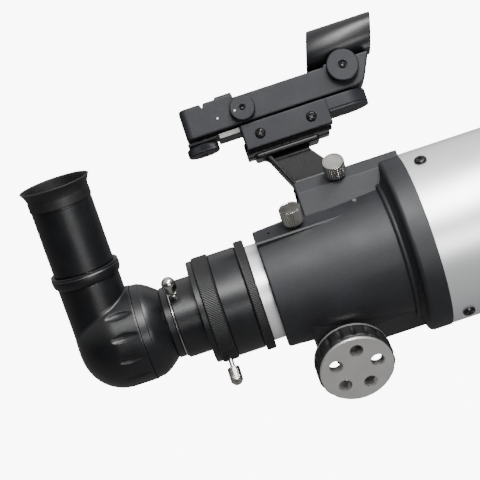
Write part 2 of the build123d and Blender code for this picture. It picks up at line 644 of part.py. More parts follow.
def diagonal_collar():
    """Beaded collar that holds the eyepiece."""
    low = COLLAR_LOW + FIT
    outline = [Line((NOSE_BORE_R, low), (NECK_R, low)),
               ThreePointArc((NECK_R, low), (COLLAR_HALF, (low + COLLAR_HIGH) / 2),
                             (NECK_R + 0.6, COLLAR_HIGH)),
               Line((NECK_R + 0.6, COLLAR_HIGH), (NOSE_BORE_R, COLLAR_HIGH)),
               Line((NOSE_BORE_R, COLLAR_HIGH), (NOSE_BORE_R, low))]
    face = make_face(Curve() + outline)
    collar = revolve(Rot(90, 0, 0) * face, Axis.Z, 360)
    return on_axis(Pos(EYE_X, 0, 0) * collar, DIAGONAL_ROLL)


PRISM_HALF = 10.0


def erecting_prism():
    half = PRISM_HALF
    outline = [(EYE_X - half, half), (EYE_X + half, half), (EYE_X + half, -half)]
    return on_axis(side_plate(outline, -half, half), DIAGONAL_ROLL)


def prism_carrier():
    """Black frame: a sloping back under the prism's long face and two cheeks."""
    half, gap, back, cheek = PRISM_HALF, 0.1, 1.8, 1.3
    frame = side_plate([(EYE_X - half - back, half), (EYE_X - half - gap, half),
                        (EYE_X + half, -half - gap), (EYE_X + half, -half - back)],
                       -half - cheek, half + cheek)
    side = side_plate([(EYE_X - half - gap, half), (EYE_X + half, half),
                       (EYE_X + half, -half - gap)], half + gap, half + cheek)
    return on_axis(frame + side + mirrored(side), DIAGONAL_ROLL)


# ---- eyepiece ------------------------------------------------------------------------------
BARREL_LOW, BARREL_HIGH = COLLAR_HIGH + 0.3, 89.8
EYECUP_RIM = 102.4
BARREL_HALF = 18.5


def upright(points):
    """Solid of revolution about the eyepiece axis from (radius, height) points."""
    face = make_face(Polyline(*[(r, 0, z) for r, z in points], close=True))
    return on_axis(Pos(EYE_X, 0, 0) * revolve(face, Axis.Z, 360), DIAGONAL_ROLL)


def eyepiece_barrel():
    low, high = BARREL_LOW, BARREL_HIGH
    return upright([(14.0, low), (BARREL_HALF - 0.5, low), (BARREL_HALF, low + 0.5),
                    (BARREL_HALF, high), (12.0, high), (12.0, high - 4), (14.0, high - 4)])


def eyecup():
    """Rubber sleeve round the barrel's top, flaring into the cup."""
    low = BARREL_HIGH + FIT
    return upright([(12.2, low), (BARREL_HALF + 0.1, low), (BARREL_HALF + 0.1, low + 6.2),
                    (20.85, EYECUP_RIM), (19.4, EYECUP_RIM), (16.9, low + 5.2), (12.2, low + 3)])


def eyepiece_nose():
    return upright([(14.1, 22.0), (NOSE_R - 0.4, 22.0), (NOSE_R, 22.4), (NOSE_R, BARREL_LOW - FIT),
                    (14.1, BARREL_LOW - FIT)])


def eyepiece_lens(z0, z1, radius, curve):
    """A lens flat above and bulging downwards on a sphere of radius curve."""
    disc = post(EYE_X, 0, z0 - 2, z1, radius) & Pos(EYE_X, 0, z0 - 1 + curve) * Sphere(curve)
    return on_axis(disc, DIAGONAL_ROLL)


def eye_lens():
    return eyepiece_lens(BARREL_HIGH - 3, BARREL_HIGH - 0.5, 11.9, 60.0)


def field_lens():
    return eyepiece_lens(BARREL_LOW + 8, BARREL_LOW + 11, 13.9, 60.0)


# ---- red dot finder ------------------------------------------------------------------------
# Drawn with local +Z away from the main tube, then rolled onto the shoe.
FINDER_X = RIM - 8.0          # zero of the finder's own stations
BASE_REAR, BASE_FRONT = FINDER_X + 21.3, FINDER_X + 75.0
BASE_LOW, BASE_HIGH = 82.4, 98.1
BASE_HALF = 13.0
SCREW_STATIONS, BASE_SCREW_Z = (FINDER_X + 31.6, FINDER_X + 63.7), 90.0
PIVOT_X = FINDER_X + 47.0     # azimuth pivot
HINGE_X, HINGE_Z = FINDER_X + 86.75, 104.5
POD_X, POD_R = FINDER_X + 87.6, 12.5
BODY_LOW, BODY_HIGH, BODY_HALF = 99.2, 118.4, 12.5
ALTITUDE_KNOB_X = FINDER_X - 3.8
AZIMUTH_KNOB_X, AZIMUTH_KNOB_Z = FINDER_X + 90.8, 112.8
SWITCH_X, SWITCH_Z = FINDER_X + 26.0, 107.4
HOOD_LOW, HOOD_HIGH, HOOD_HALF, HOOD_WALL = 117.6, 142.2, 12.7, 2.0


def on_finder(shape):
    return on_axis(shape, FINDER_ROLL)


def rail_outline(gap):
    return [(-6 - gap, 79.0), (6 + gap, 79.0), (6 + gap, 83.0), (8.5 + gap, 87.5 + gap),
            (-8.5 - gap, 87.5 + gap), (-6 - gap, 83.0)]


def finder_bracket():
    """Dovetail foot, slanted T-section stem, top flange and rail."""
    x = FINDER_X
    foot = section([(-15.3, FOOT_BASE), (15.3, FOOT_BASE), (11.9, 54.5), (-11.9, 54.5)], x + 42, x + 93)
    stem = side_plate([(x + 42, 53), (x + 73, 53), (x + 54, 77), (x + 30, 77)], -3, 3)
    flange = side_plate([(x + 41.5, 53), (x + 45, 53), (x + 34, 77), (x + 30, 77)], -8.5, 8.5)
    top = block(x + 23.8, x + 65.3, -10.5, 10.5, 76.4, 79.6)
    rail = section(rail_outline(0), x + 20, x + 71.7)
    return on_finder(foot + stem + flange + top + rail)


def pod_outline(z0, z1, gap):
    """Battery pod in plan: straight sides from the clamp block, then a half round."""
    return post(POD_X, 0, z0, z1, POD_R) + block(BASE_FRONT + gap, POD_X, -POD_R, POD_R, z0, z1)


def finder_base():
    """Clamp block over the rail, with the battery pod ahead and the adjuster's arm behind."""
    x = FINDER_X
    body = block(BASE_REAR, BASE_FRONT, -BASE_HALF, BASE_HALF, BASE_LOW, BASE_HIGH)
    body = chamfer(body.edges().filter_by(Axis.Z), 0.6)
    body -= section(rail_outline(FIT), BASE_REAR - 1, BASE_FRONT + 1)
    pod = pod_outline(90.4, 98.1, 0.0)
    pod -= post(POD_X, 0, 90, 95, POD_R - 1.8)
    arm = block(x - 12, BASE_REAR + 1, -7.5, 7.5, 96.4, 98.1)
    label = block(x + 6.9, BASE_REAR + 1, -9.5, 9.5, 94.6, 98.1)
    arm -= post(ALTITUDE_KNOB_X, 0, 95, 99, 1.5 + BUSH_CLEARANCE)
    pin = post(PIVOT_X, 0, BASE_HIGH - 0.5, 103.0, 2.5)
    body = body + pod + arm + label + pin
    for station in SCREW_STATIONS:
        body -= cross_pin(station, BASE_SCREW_Z, -BASE_HALF - 1, -8.7, 1.6)
    return on_finder(body)


def finder_base_screws():
    screws = []
    for station in SCREW_STATIONS:
        face = -BASE_HALF - 0.02
        head = cross_pin(station, BASE_SCREW_Z, face - 1.9, face, 3.4)
        head = fillet(head.edges().filter_by(GeomType.CIRCLE).sort_by(Axis.Y)[0], 1.4)
        head -= Pos(station, face - 1.6, BASE_SCREW_Z) * (Box(3.4, 1.8, 0.8) + Box(0.8, 1.8, 3.4))
        screws.append(on_finder(head + cross_pin(station, BASE_SCREW_Z, face - 0.1, -8.9, 1.55)))
    return screws


def battery_cap():
    cap = pod_outline(88.6, 90.35, 0.3) - block(BASE_REAR, BASE_FRONT + 0.3, -14, 14, 88, 91)
    cap = chamfer(cap.faces().sort_by(Axis.Z)[0].edges(), 0.5)
    return on_finder(cap - Pos(POD_X, 0, 88.6) * Box(12, 1.6, 1.4))


def finder_battery():
    cell = post(POD_X, 0, 91.0, 94.2, 10.0)
    return on_finder(chamfer(cell.edges().filter_by(GeomType.CIRCLE), 0.3))


def finder_yoke():
    """Arm that swings on the base's pin and carries the body's hinge."""
    yoke = block(PIVOT_X - 6, HINGE_X + 4, -6, 6, 98.5, 103.0)
    yoke += block(HINGE_X - 4, HINGE_X + 4, -6, 6, 98.5, 108.0)
    yoke -= post(PIVOT_X, 0, 98, 104, 2.5 + BUSH_CLEARANCE)
    return on_finder(yoke - cross_pin(HINGE_X, HINGE_Z, -7, 7, 1.5 + BUSH_CLEARANCE))


def finder_body():
    """Long housing with a rear sight notch, its own hinge pin, and a well for the yoke."""
    x = FINDER_X
    outline = [(x - 11.8, BODY_LOW + 1.5), (x - 10.3, BODY_LOW), (x + 96, BODY_LOW),
               (x + 100.8, BODY_LOW + 1.4), (x + 108.7, BODY_HIGH - 1), (x + 84, BODY_HIGH - 1),
               (x + 78, BODY_HIGH - 2.2), (x + 22.8, BODY_HIGH - 2.2),
               (x + 22.3, BODY_HIGH + 1.1), (x + 11.7, BODY_HIGH + 1.1), (x + 11.0, BODY_HIGH),
               (x + 4.0, BODY_HIGH), (x + 3.0, BODY_HIGH - 3.5), (x + 2.0, BODY_HIGH),
               (x - 10.8, BODY_HIGH), (x - 11.8, BODY_HIGH - 1)]
    body = side_plate(outline, -BODY_HALF, BODY_HALF)
    rear = body.faces().filter_by(Axis.X).sort_by(Axis.X)[0]
    body = fillet(rear.edges().filter_by(Axis.Z), 2.4)
    body -= block(PIVOT_X - 8, HINGE_X + 6, -8.5, 8.5, BODY_LOW - 1, 110.5)
    body += cross_pin(HINGE_X, HINGE_Z, -9, 9, 1.5)
    body -= cross_pin(SWITCH_X, SWITCH_Z, -BODY_HALF - 1, -6, 2.0 + BUSH_CLEARANCE)
    body -= cross_pin(AZIMUTH_KNOB_X, AZIMUTH_KNOB_Z, -BODY_HALF - 1, -6, 2.0 + BUSH_CLEARANCE)
    return on_finder(body)


def hood_section(inset, x0, x1):
    """Rounded oblong tube blank along X."""
    height = HOOD_HIGH - HOOD_LOW - 2 * inset
    width = 2 * (HOOD_HALF - inset)
    oblong = RectangleRounded(width, height, 7.0 - inset)
    middle = (HOOD_LOW + HOOD_HIGH) / 2
    face = Plane((x0, 0, middle), x_dir=(0, 1, 0), z_dir=(1, 0, 0)) * oblong
    return extrude(face, amount=x1 - x0, dir=(1, 0, 0))


def hood_slab(rear, front):
    """The forward-leaning slab that the hood's open ends follow."""
    lean = 8.0
    return side_plate([(rear, HOOD_LOW - 1), (front, HOOD_LOW - 1), (front + lean, HOOD_HIGH + 1),
                       (rear + lean, HOOD_HIGH + 1)], -20, 20)


def finder_hood():
    x = FINDER_X
    tube = hood_section(0, x + 60, x + 130) - hood_section(HOOD_WALL, x + 60, x + 130)
    return on_finder(tube & hood_slab(x + 70, x + 110.4))


def finder_window():
    x = FINDER_X
    return on_finder(hood_section(HOOD_WALL + FIT, x + 60, x + 130) & hood_slab(x + 100, x + 102))


def dial(x, z, face_y, thickness, radius, shaft_end):
    """A round knob on the near side, with its shaft."""
    knob = cross_pin(x, z, face_y - thickness, face_y, radius)
    knob = chamfer(knob.edges().filter_by(GeomType.CIRCLE).sort_by(Axis.Y)[0], 0.6)
    return on_finder(knob + cross_pin(x, z, face_y - 0.5, shaft_end, 2.0))


def switch_knob():
    return dial(SWITCH_X, SWITCH_Z, -BODY_HALF - 0.6, 4.5, 7.75, -7.0)


def azimuth_knob():
    return dial(AZIMUTH_KNOB_X, AZIMUTH_KNOB_Z, -BODY_HALF - 0.6, 5.5, 9.75, -9.0)


def altitude_knob():
    knob = post(ALTITUDE_KNOB_X, 0, 90.2, 95.4, 9.85)
    knob = chamfer(knob.edges().filter_by(GeomType.CIRCLE), 0.6)
    return on_finder(knob + post(ALTITUDE_KNOB_X, 0, 94.9, 98.9, 1.5))


# ---- every piece ---------------------------------------------------------------------------
def main():
    os.makedirs("parts", exist_ok=True)
    export("main_tube", main_tube())
    export("tube_screws", *tube_screws())
    export("tube_baffles", *tube_baffles())
    export("objective_cell", objective_cell())
    export("crown_lens", crown_lens())
    export("flint_lens", flint_lens())
    export("lens_retaining_ring", lens_retaining_ring())
    export("dew_shield", dew_shield())
    export("dovetail_bar", dovetail_bar())
    export("tube_saddle", tube_saddle())
    export("dovetail_bolts", *dovetail_bolts())
    export("focuser_housing", focuser_housing())
    export("shoe_grub_screw", shoe_grub_screw())
    export("pinion_cover", pinion_cover())
    export("pinion_cover_screws", *pinion_cover_screws())
    export("pinion_bushes", *pinion_bushes())
    export("drawtube_glides", *drawtube_glides())
    export("focus_lock_screw", focus_lock_screw())
    export("shoe_screw_near", shoe_screw(SHOE_NEAR_X, -1))
    export("shoe_screw_far", shoe_screw(SHOE_FAR_X, 1))
    export("adapter_clamp_screw", adapter_clamp_screw())
    export("diagonal_clamp_screw", diagonal_clamp_screw())
    export("drawtube", drawtube())
    export("focus_rack", focus_rack())
    export("rack_screws", *rack_screws())
    export("drawtube_end_ring", drawtube_end_ring())
    export("two_inch_holder", two_inch_holder())
    export("clamp_ring", clamp_ring())
    export("step_down_adapter", step_down_adapter())
    export("compression_band", compression_band())
    export("pinion_shaft", pinion_shaft())
    export("pinion_gear", pinion_gear())
    export("focus_knob_near", focus_knob())
    export("focus_knob_far", mirrored(focus_knob()))
    export("knob_grip_near", knob_grip())
    export("knob_grip_far", mirrored(knob_grip()))
    export("diagonal_rear_shell", diagonal_rear_shell())
    export("diagonal_front_shell", diagonal_front_shell())
    export("diagonal_shoulder_ring", diagonal_shoulder_ring())
    export("diagonal_nose", diagonal_nose())
    export("diagonal_collar", diagonal_collar())
    export("erecting_prism", erecting_prism())
    export("prism_carrier", prism_carrier())
    export("eyepiece_barrel", eyepiece_barrel())
    export("eyecup", eyecup())
    export("eyepiece_nose", eyepiece_nose())
    export("eye_lens", eye_lens())
    export("field_lens", field_lens())
    export("finder_bracket", finder_bracket())
    export("finder_base", finder_base())
    export("finder_base_screws", *finder_base_screws())
    export("battery_cap", battery_cap())
    export("finder_battery", finder_battery())
    export("finder_yoke", finder_yoke())
    export("finder_body", finder_body())
    export("finder_hood", finder_hood())
    export("finder_window", finder_window())
    export("switch_knob", switch_knob())
    export("azimuth_knob", azimuth_knob())
    export("altitude_knob", altitude_knob())


main()
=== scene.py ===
import json
import math

import bpy
import numpy as np
from mathutils import Matrix, Vector


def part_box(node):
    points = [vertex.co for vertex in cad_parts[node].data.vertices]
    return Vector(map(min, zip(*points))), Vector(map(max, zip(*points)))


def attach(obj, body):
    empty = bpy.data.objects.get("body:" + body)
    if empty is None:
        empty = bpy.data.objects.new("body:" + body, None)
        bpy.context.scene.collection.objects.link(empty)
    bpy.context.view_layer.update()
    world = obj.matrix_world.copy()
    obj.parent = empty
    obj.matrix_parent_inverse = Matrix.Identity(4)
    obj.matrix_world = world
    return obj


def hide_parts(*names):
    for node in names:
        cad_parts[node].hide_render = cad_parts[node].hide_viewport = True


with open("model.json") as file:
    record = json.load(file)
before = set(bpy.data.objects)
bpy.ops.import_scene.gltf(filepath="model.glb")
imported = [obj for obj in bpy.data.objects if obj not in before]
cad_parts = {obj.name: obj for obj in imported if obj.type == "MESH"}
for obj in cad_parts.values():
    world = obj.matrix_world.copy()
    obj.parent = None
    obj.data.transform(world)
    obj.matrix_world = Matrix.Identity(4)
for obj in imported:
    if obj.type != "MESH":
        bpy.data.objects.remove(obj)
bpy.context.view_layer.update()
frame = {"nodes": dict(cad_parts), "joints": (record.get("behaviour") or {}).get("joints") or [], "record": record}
nodes = frame["nodes"]
joints = {joint["name"]: joint for joint in frame["joints"]}
slot_of = {part["node"]: part["material_slot"] for part in frame["record"]["subparts"]}
MM = 0.001                        # one millimetre in the frame, in metres


# ---- places read from the frame, in mm -------------------------------------------------------
AXIS_Z = sum(v.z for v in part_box("drawtube_end_ring")) / 2 / MM     # optical axis
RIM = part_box("focuser_housing")[0].x / MM                           # rear rim of the housing


def span(node, axis=0):
    """Lowest and highest coordinate of a CAD node along an axis, in mm."""
    low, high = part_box(node)
    return low[axis] / MM, high[axis] / MM


def radius_of(node):
    """Radius of a round CAD node that lies along X, in mm."""
    near, far = span(node, 1)
    return (far - near) / 2


def joint_roll(name):
    """Clock angle about the optical axis of a joint's axis, from the top towards the near side."""
    axis = joints[name]["axis"]
    return math.atan2(-axis[1], axis[2])


def joint_place(name):
    """Where a joint's axis is, in mm."""
    return Vector(joints[name]["pos_m"]) / MM


def rolled(roll, x=RIM):
    """Frame in mm on the optical axis at x, its Z turned away from the top by roll."""
    return Matrix.Translation((x, 0, AXIS_Z)) @ Matrix.Rotation(roll, 4, "X")


FINDER_ROLL = joint_roll("finder_azimuth")
DIAGONAL_ROLL = joint_roll("eyepiece_slide")


# ---- camera ---------------------------------------------------------------------------------
ELEVATION = math.radians(32.5)
CAMERA_ROLL = math.radians(18.3)
DISTANCE, FAR_CLIP = 0.900, 20.0
PICTURE_WIDTH = 0.288             # width seen at the tube's axis
SENSOR = 36.0
AIM_BEHIND_RIM, AIM_ABOVE_AXIS = 8.0, 34.0


def make_camera():
    """Camera on the near side, looking down on the focuser, turned about its own view."""
    look = Vector((0, math.cos(ELEVATION), -math.sin(ELEVATION)))
    over = Vector((0, math.sin(ELEVATION), math.cos(ELEVATION)))
    along = Vector((1, 0, 0))
    right = math.cos(CAMERA_ROLL) * along - math.sin(CAMERA_ROLL) * over
    up = math.sin(CAMERA_ROLL) * along + math.cos(CAMERA_ROLL) * over
    target = (Vector((RIM - AIM_BEHIND_RIM, 0, AXIS_Z)) + AIM_ABOVE_AXIS * over) * MM
    camera = bpy.data.objects.new("camera", bpy.data.cameras.new("camera"))
    bpy.context.scene.collection.objects.link(camera)
    turn = Matrix((right, up, -look)).transposed().to_4x4()
    camera.matrix_world = Matrix.Translation(target - DISTANCE * look) @ turn
    camera.data.sensor_width = SENSOR
    camera.data.lens = SENSOR * DISTANCE / PICTURE_WIDTH
    camera.data.clip_end = FAR_CLIP
    bpy.context.scene.camera = camera


make_camera()


# ---- light and floor ------------------------------------------------------------------------
SEEN = 9.0                        # backdrop's brightness for the camera
LIT_LOW, LIT_HIGH = 0.02, 0.95    # its brightness for the object, from below and from above
LIT_FROM = (0.0, 0.64, 0.77)      # direction of its brightest part
FACING_LOW, FACING_HIGH = -0.1, 1.0
COOL = 1.03                       # how much stronger the blue of the light is
FLOOR_HALF, FLOOR_LEVEL = 6.0, -0.45
FLOOR_GREY, FLOOR_ROUGHNESS, FLOOR_GLOW = 0.12, 0.9, 0.08


def seen_and_lit(tree, seen, lit=0.0):
    """A colour that the camera sees as one grey and that lights the object as another."""
    path = tree.nodes.new("ShaderNodeLightPath")
    mix = tree.nodes.new("ShaderNodeMix")
    mix.data_type = "RGBA"
    tree.links.new(path.outputs["Is Camera Ray"], mix.inputs["Factor"])
    mix.inputs["A"].default_value = (lit, lit, lit * COOL, 1)
    mix.inputs["B"].default_value = (seen, seen, seen, 1)
    return mix.outputs["Result"]


def area_light(name, place, aim, size, power):
    """A rectangular lamp of size (width, height) in metres that points at aim."""
    light = bpy.data.objects.new(name, bpy.data.lights.new(name, "AREA"))
    bpy.context.scene.collection.objects.link(light)
    light.data.shape = "RECTANGLE"
    light.data.size, light.data.size_y = size
    light.data.energy = power
    light.location = place
    light.rotation_euler = (Vector(aim) - Vector(place)).to_track_quat("-Z", "Y").to_euler()


def studio_light(tree):
    """Light from above and behind, dark in front and below, by the direction looked in."""
    place = tree.nodes.new("ShaderNodeTexCoord")
    facing = tree.nodes.new("ShaderNodeVectorMath")
    facing.operation = "DOT_PRODUCT"
    facing.inputs[1].default_value = LIT_FROM
    tree.links.new(place.outputs["Generated"], facing.inputs[0])
    ranged = tree.nodes.new("ShaderNodeMapRange")
    ranged.inputs["From Min"].default_value = FACING_LOW
    ranged.inputs["From Max"].default_value = FACING_HIGH
    ranged.inputs["To Min"].default_value = LIT_LOW
    ranged.inputs["To Max"].default_value = LIT_HIGH
    tree.links.new(facing.outputs["Value"], ranged.inputs["Value"])
    return ranged.outputs["Result"]


def make_backdrop():
    world = bpy.data.worlds.new("studio")
    bpy.context.scene.world = world
    world.use_nodes = True
    tree = world.node_tree
    background = tree.nodes["Background"]
    shown = seen_and_lit(tree, SEEN)
    tree.links.new(studio_light(tree), shown.node.inputs["A"])
    tree.links.new(shown, background.inputs["Color"])


def make_floor():
    half, level = FLOOR_HALF, FLOOR_LEVEL
    mesh = bpy.data.meshes.new("floor")
    corners = [(-half, -half, level), (half, -half, level), (half, half, level), (-half, half, level)]
    mesh.from_pydata(corners, [], [(0, 1, 2, 3)])
    floor = bpy.data.objects.new("floor", mesh)
    bpy.context.scene.collection.objects.link(floor)
    material = bpy.data.materials.new("floor")
    material.use_nodes = True
    shader = material.node_tree.nodes["Principled BSDF"]
    shader.inputs["Base Color"].default_value = (FLOOR_GREY, FLOOR_GREY, FLOOR_GREY, 1)
    shader.inputs["Roughness"].default_value = FLOOR_ROUGHNESS
    glow = seen_and_lit(material.node_tree, SEEN, FLOOR_GLOW)
    material.node_tree.links.new(glow, shader.inputs["Emission Color"])
    shader.inputs["Emission Strength"].default_value = 1.0
    mesh.materials.append(material)


make_backdrop()
make_floor()
MIDDLE = Vector((RIM - 30, 0, AXIS_Z + 20)) * MM
LAMP_DISTANCE = 1.5
KEY_FROM, FRONT_FROM = Vector((0.30, -0.24, 0.92)), Vector((0.30, -0.88, 0.33))
area_light("key", MIDDLE + LAMP_DISTANCE * KEY_FROM, MIDDLE, (1.4, 0.44), 46)
area_light("front", MIDDLE + LAMP_DISTANCE * FRONT_FROM, MIDDLE, (0.8, 0.30), 9)


# ---- materials ------------------------------------------------------------------------------
NOISE_LOW, NOISE_HIGH = 0.3, 0.7  # the middle of a noise, which is stretched over a range
GLOSS_SPREAD = 0.12               # how much the clouds vary the roughness
BUMP_SHARE = 0.3                  # height of the grain, as a share of its width


def noise(tree, size_mm, detail=3.0):
    """Factor of a noise with lumps about size_mm across, on the object's own coordinates."""
    place = tree.nodes.new("ShaderNodeTexCoord")
    texture = tree.nodes.new("ShaderNodeTexNoise")
    texture.inputs["Scale"].default_value = 1 / (size_mm * MM)
    texture.inputs["Detail"].default_value = detail
    tree.links.new(place.outputs["Object"], texture.inputs["Vector"])
    return texture.outputs["Fac"]


def spread(tree, factor, low, high):
    """The middle of a noise stretched over a range of values."""
    ranged = tree.nodes.new("ShaderNodeMapRange")
    ranged.inputs["From Min"].default_value = NOISE_LOW
    ranged.inputs["From Max"].default_value = NOISE_HIGH
    ranged.inputs["To Min"].default_value = low
    ranged.inputs["To Max"].default_value = high
    tree.links.new(factor, ranged.inputs["Value"])
    return ranged.outputs["Result"]


def finish(name, color, metallic=0.0, roughness=0.5, grain=0.5, bump=0.15, tint=0.12, cloud=18.0,
           blotch=0.12, tone=None, **values):
    """A surface with fine grain in its height and colour, and slow clouds in gloss and colour.

    grain and cloud are sizes in mm, tint and blotch say how much the colour varies with each,
    and tone is the colour that the clouds lean towards.
    """
    material = bpy.data.materials.new(name)
    material.use_nodes = True
    tree = material.node_tree
    shader = tree.nodes["Principled BSDF"]
    shader.inputs["Metallic"].default_value = metallic
    for socket, value in values.items():
        shader.inputs[socket.replace("_", " ")].default_value = value
    fine, slow = noise(tree, grain), noise(tree, cloud, 4.0)
    gloss = spread(tree, slow, roughness * (1 - GLOSS_SPREAD), roughness * (1 + GLOSS_SPREAD))
    tree.links.new(gloss, shader.inputs["Roughness"])
    lift = tree.nodes.new("ShaderNodeBump")
    lift.inputs["Strength"].default_value = bump
    lift.inputs["Distance"].default_value = grain * BUMP_SHARE * MM
    tree.links.new(fine, lift.inputs["Height"])
    tree.links.new(lift.outputs["Normal"], shader.inputs["Normal"])
    clouds = tree.nodes.new("ShaderNodeMix")
    clouds.data_type = "RGBA"
    tone = tone or [c * (1 + blotch) for c in color]
    clouds.inputs["A"].default_value = (*[c * (1 - blotch) for c in color], 1)
    clouds.inputs["B"].default_value = (*tone, 1)
    tree.links.new(spread(tree, slow, 0, 1), clouds.inputs["Factor"])
    speck = tree.nodes.new("ShaderNodeHueSaturation")
    tree.links.new(spread(tree, fine, 1 - tint, 1 + tint), speck.inputs["Value"])
    tree.links.new(clouds.outputs["Result"], speck.inputs["Color"])
    tree.links.new(speck.outputs["Color"], shader.inputs["Base Color"])
    return material


def clear_glass(name, color, roughness):
    """Coated optical glass."""
    material = finish(name, color, roughness=roughness, grain=6.0, bump=0.0, tint=0.02)
    shader = material.node_tree.nodes["Principled BSDF"]
    shader.inputs["Transmission Weight"].default_value = 1.0
    shader.inputs["IOR"].default_value = 1.52
    shader.inputs["Coat Weight"].default_value = 0.6
    shader.inputs["Coat Tint"].default_value = (0.6, 0.8, 0.75, 1)
    return material


MATERIALS = {
    "tube_silver": finish("tube_silver", (0.88, 0.89, 0.90), 0.78, 0.38, 0.28, 0.10, 0.06, 60, 0.02,
                          Coat_Weight=0.2, Coat_Roughness=0.35),
    "black_casting": finish("black_casting", (0.010, 0.0104, 0.0122), 0.0, 0.54, 0.55, 0.35, 0.30, 22,
                            0.12, (0.013, 0.0142, 0.018), Specular_IOR_Level=0.55),
    "black_anodised": finish("black_anodised", (0.005, 0.0052, 0.006), 0.1, 0.34, 0.35, 0.04, 0.20,
                             14, 0.15, (0.007, 0.0078, 0.0095), Specular_IOR_Level=0.6),
    "black_plastic": finish("black_plastic", (0.004, 0.004, 0.0045), 0.0, 0.36, 0.45, 0.14, 0.25, 16,
                            0.15, (0.005, 0.0055, 0.007)),
    "black_paint": finish("black_paint", (0.006, 0.0062, 0.0072), 0.0, 0.36, 0.45, 0.16, 0.25, 16, 0.15,
                          Specular_IOR_Level=0.4),
    "black_rubber": finish("black_rubber", (0.006, 0.006, 0.0065), 0.0, 0.50, 0.35, 0.15, 0.2, 9, 0.2),
    "white_anodised": finish("white_anodised", (0.96, 0.96, 0.96), 0.6, 0.34, 0.40, 0.06, 0.02, 15,
                             0.01),
    "knob_aluminium": finish("knob_aluminium", (0.70, 0.69, 0.67), 0.85, 0.36, 0.50, 0.60, 0.20, 12,
                             0.04),
    "nickel": finish("nickel", (0.56, 0.54, 0.505), 1.0, 0.22, 0.30, 0.02, 0.05, 5, 0.10),
    "black_screw": finish("black_screw", (0.007, 0.007, 0.008), 0.1, 0.20, 0.30, 0.06, 0.2, 3, 0.2),
    "steel": finish("steel", (0.62, 0.62, 0.62), 0.9, 0.26, 0.30, 0.10, 0.06, 6, 0.06),
    "brass": finish("brass", (0.68, 0.50, 0.24), 1.0, 0.30, 0.30, 0.10, 0.08, 6, 0.08),
    "white_glide": finish("white_glide", (0.75, 0.74, 0.70), 0.0, 0.38, 0.50, 0.10, 0.04, 8, 0.03),
    "glass": clear_glass("glass", (0.95, 0.98, 0.97), 0.02),
    "window_glass": clear_glass("window_glass", (0.55, 0.60, 0.62), 0.03),
}

for node, piece in nodes.items():
    piece.data.materials.clear()
    piece.data.materials.append(MATERIALS[slot_of[node]])
nodes["shoe_grub_screw"].data.materials[0] = MATERIALS["steel"]


# ---- mesh helpers ---------------------------------------------------------------------------
def add_piece(name, verts, faces, body, node=None, slot=None, sharp=35, material=None):
    """A new piece, its vertices in mm in the row frame, smooth up to the sharp angle.

    It stands for a CAD node and takes that node's slot, or it has a slot and no node.
    """
    slot = slot or slot_of[node]
    mesh = bpy.data.meshes.new(name)
    mesh.from_pydata((np.asarray(verts) * MM).tolist(), [], faces)
    mesh.materials.append(material or MATERIALS[slot])
    mesh.update()
    mesh.shade_smooth()
    mesh.set_sharp_from_angle(angle=math.radians(sharp))
    piece = bpy.data.objects.new(name, mesh)
    bpy.context.scene.collection.objects.link(piece)
    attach(piece, body)
    if node:
        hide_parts(node)


def moved(points, place):
    """An array of points in a frame's own coordinates, given in the row frame."""
    return np.asarray(points) @ np.array(place.to_3x3()).T + np.array(place.translation)


def place_along(origin, axis, clock=(0, 0, 1)):
    """Frame in mm whose Z runs along axis and whose X is nearest to clock."""
    z = Vector(axis).normalized()
    x = Vector(clock) - Vector(clock).dot(z) * z
    x = x.normalized() if x.length > 1e-3 else z.orthogonal().normalized()
    return Matrix.Translation(Vector(origin)) @ Matrix((x, z.cross(x), z)).transposed().to_4x4()


ALONG_X = place_along((0, 0, AXIS_Z), (1, 0, 0))    # angles from the top towards the near side


def reach(node, place):
    """How far a CAD node goes along the frame's Z, and how far out from it, in mm."""
    points = np.array([v.co for v in nodes[node].data.vertices]) / MM
    points = moved(points, place.inverted())
    return points[:, 2].min(), points[:, 2].max(), np.hypot(points[:, 0], points[:, 1]).max()


def lathe(profile, segments, relief=None):
    """Points in mm and faces of (height, radius) points turned about Z.

    The outline is closed, or starts and ends on the axis, and runs up on the outside.
    relief(heights, angles, radii) gives the radii with a surface pattern.
    """
    capped = profile[0][1] == 0 and profile[-1][1] == 0
    outline = profile[1:-1] if capped else profile
    angles = np.arange(segments) * 2 * math.pi / segments
    heights = np.array([p[0] for p in outline], float)[:, None]
    radii = np.repeat(np.array([p[1] for p in outline], float)[:, None], segments, 1)
    if relief:
        radii = relief(heights, angles[None, :], radii)
    tall = np.repeat(heights, segments, 1)
    points = np.stack([radii * np.cos(angles), radii * np.sin(angles), tall], -1).reshape(-1, 3)
    rows, around = len(outline), np.arange(segments)
    beside = (around + 1) % segments
    faces = []
    for i in range(rows - 1 if capped else rows):
        here, there = i * segments, (i + 1) % rows * segments
        faces += np.stack([here + around, here + beside, there + beside, there + around], -1).tolist()
    if capped:
        low, high = len(points), len(points) + 1
        points = np.vstack([points, (0, 0, profile[0][0]), (0, 0, profile[-1][0])])
        last = (rows - 1) * segments
        faces += [(low, int(b), int(a)) for a, b in zip(around, beside)]
        faces += [(high, last + int(a), last + int(b)) for a, b in zip(around, beside)]
    return points, faces


def dense(points, step):
    """The same open outline with points added so that no span is longer than step."""
    out = []
    for a, b in zip(points, points[1:]):
        count = max(1, math.ceil(math.dist(a, b) / step))
        out += [(a[0] + (b[0] - a[0]) * i / count, a[1] + (b[1] - a[1]) * i / count)
                for i in range(count)]
    return out + [points[-1]]


def arc(centre, radius, start, end, count):
    """Outline points on a circle, angles in degrees from the radius direction towards +height."""
    turns = [math.radians(start + (end - start) * i / count) for i in range(count + 1)]
    return [(centre[0] + radius * math.sin(t), centre[1] + radius * math.cos(t)) for t in turns]


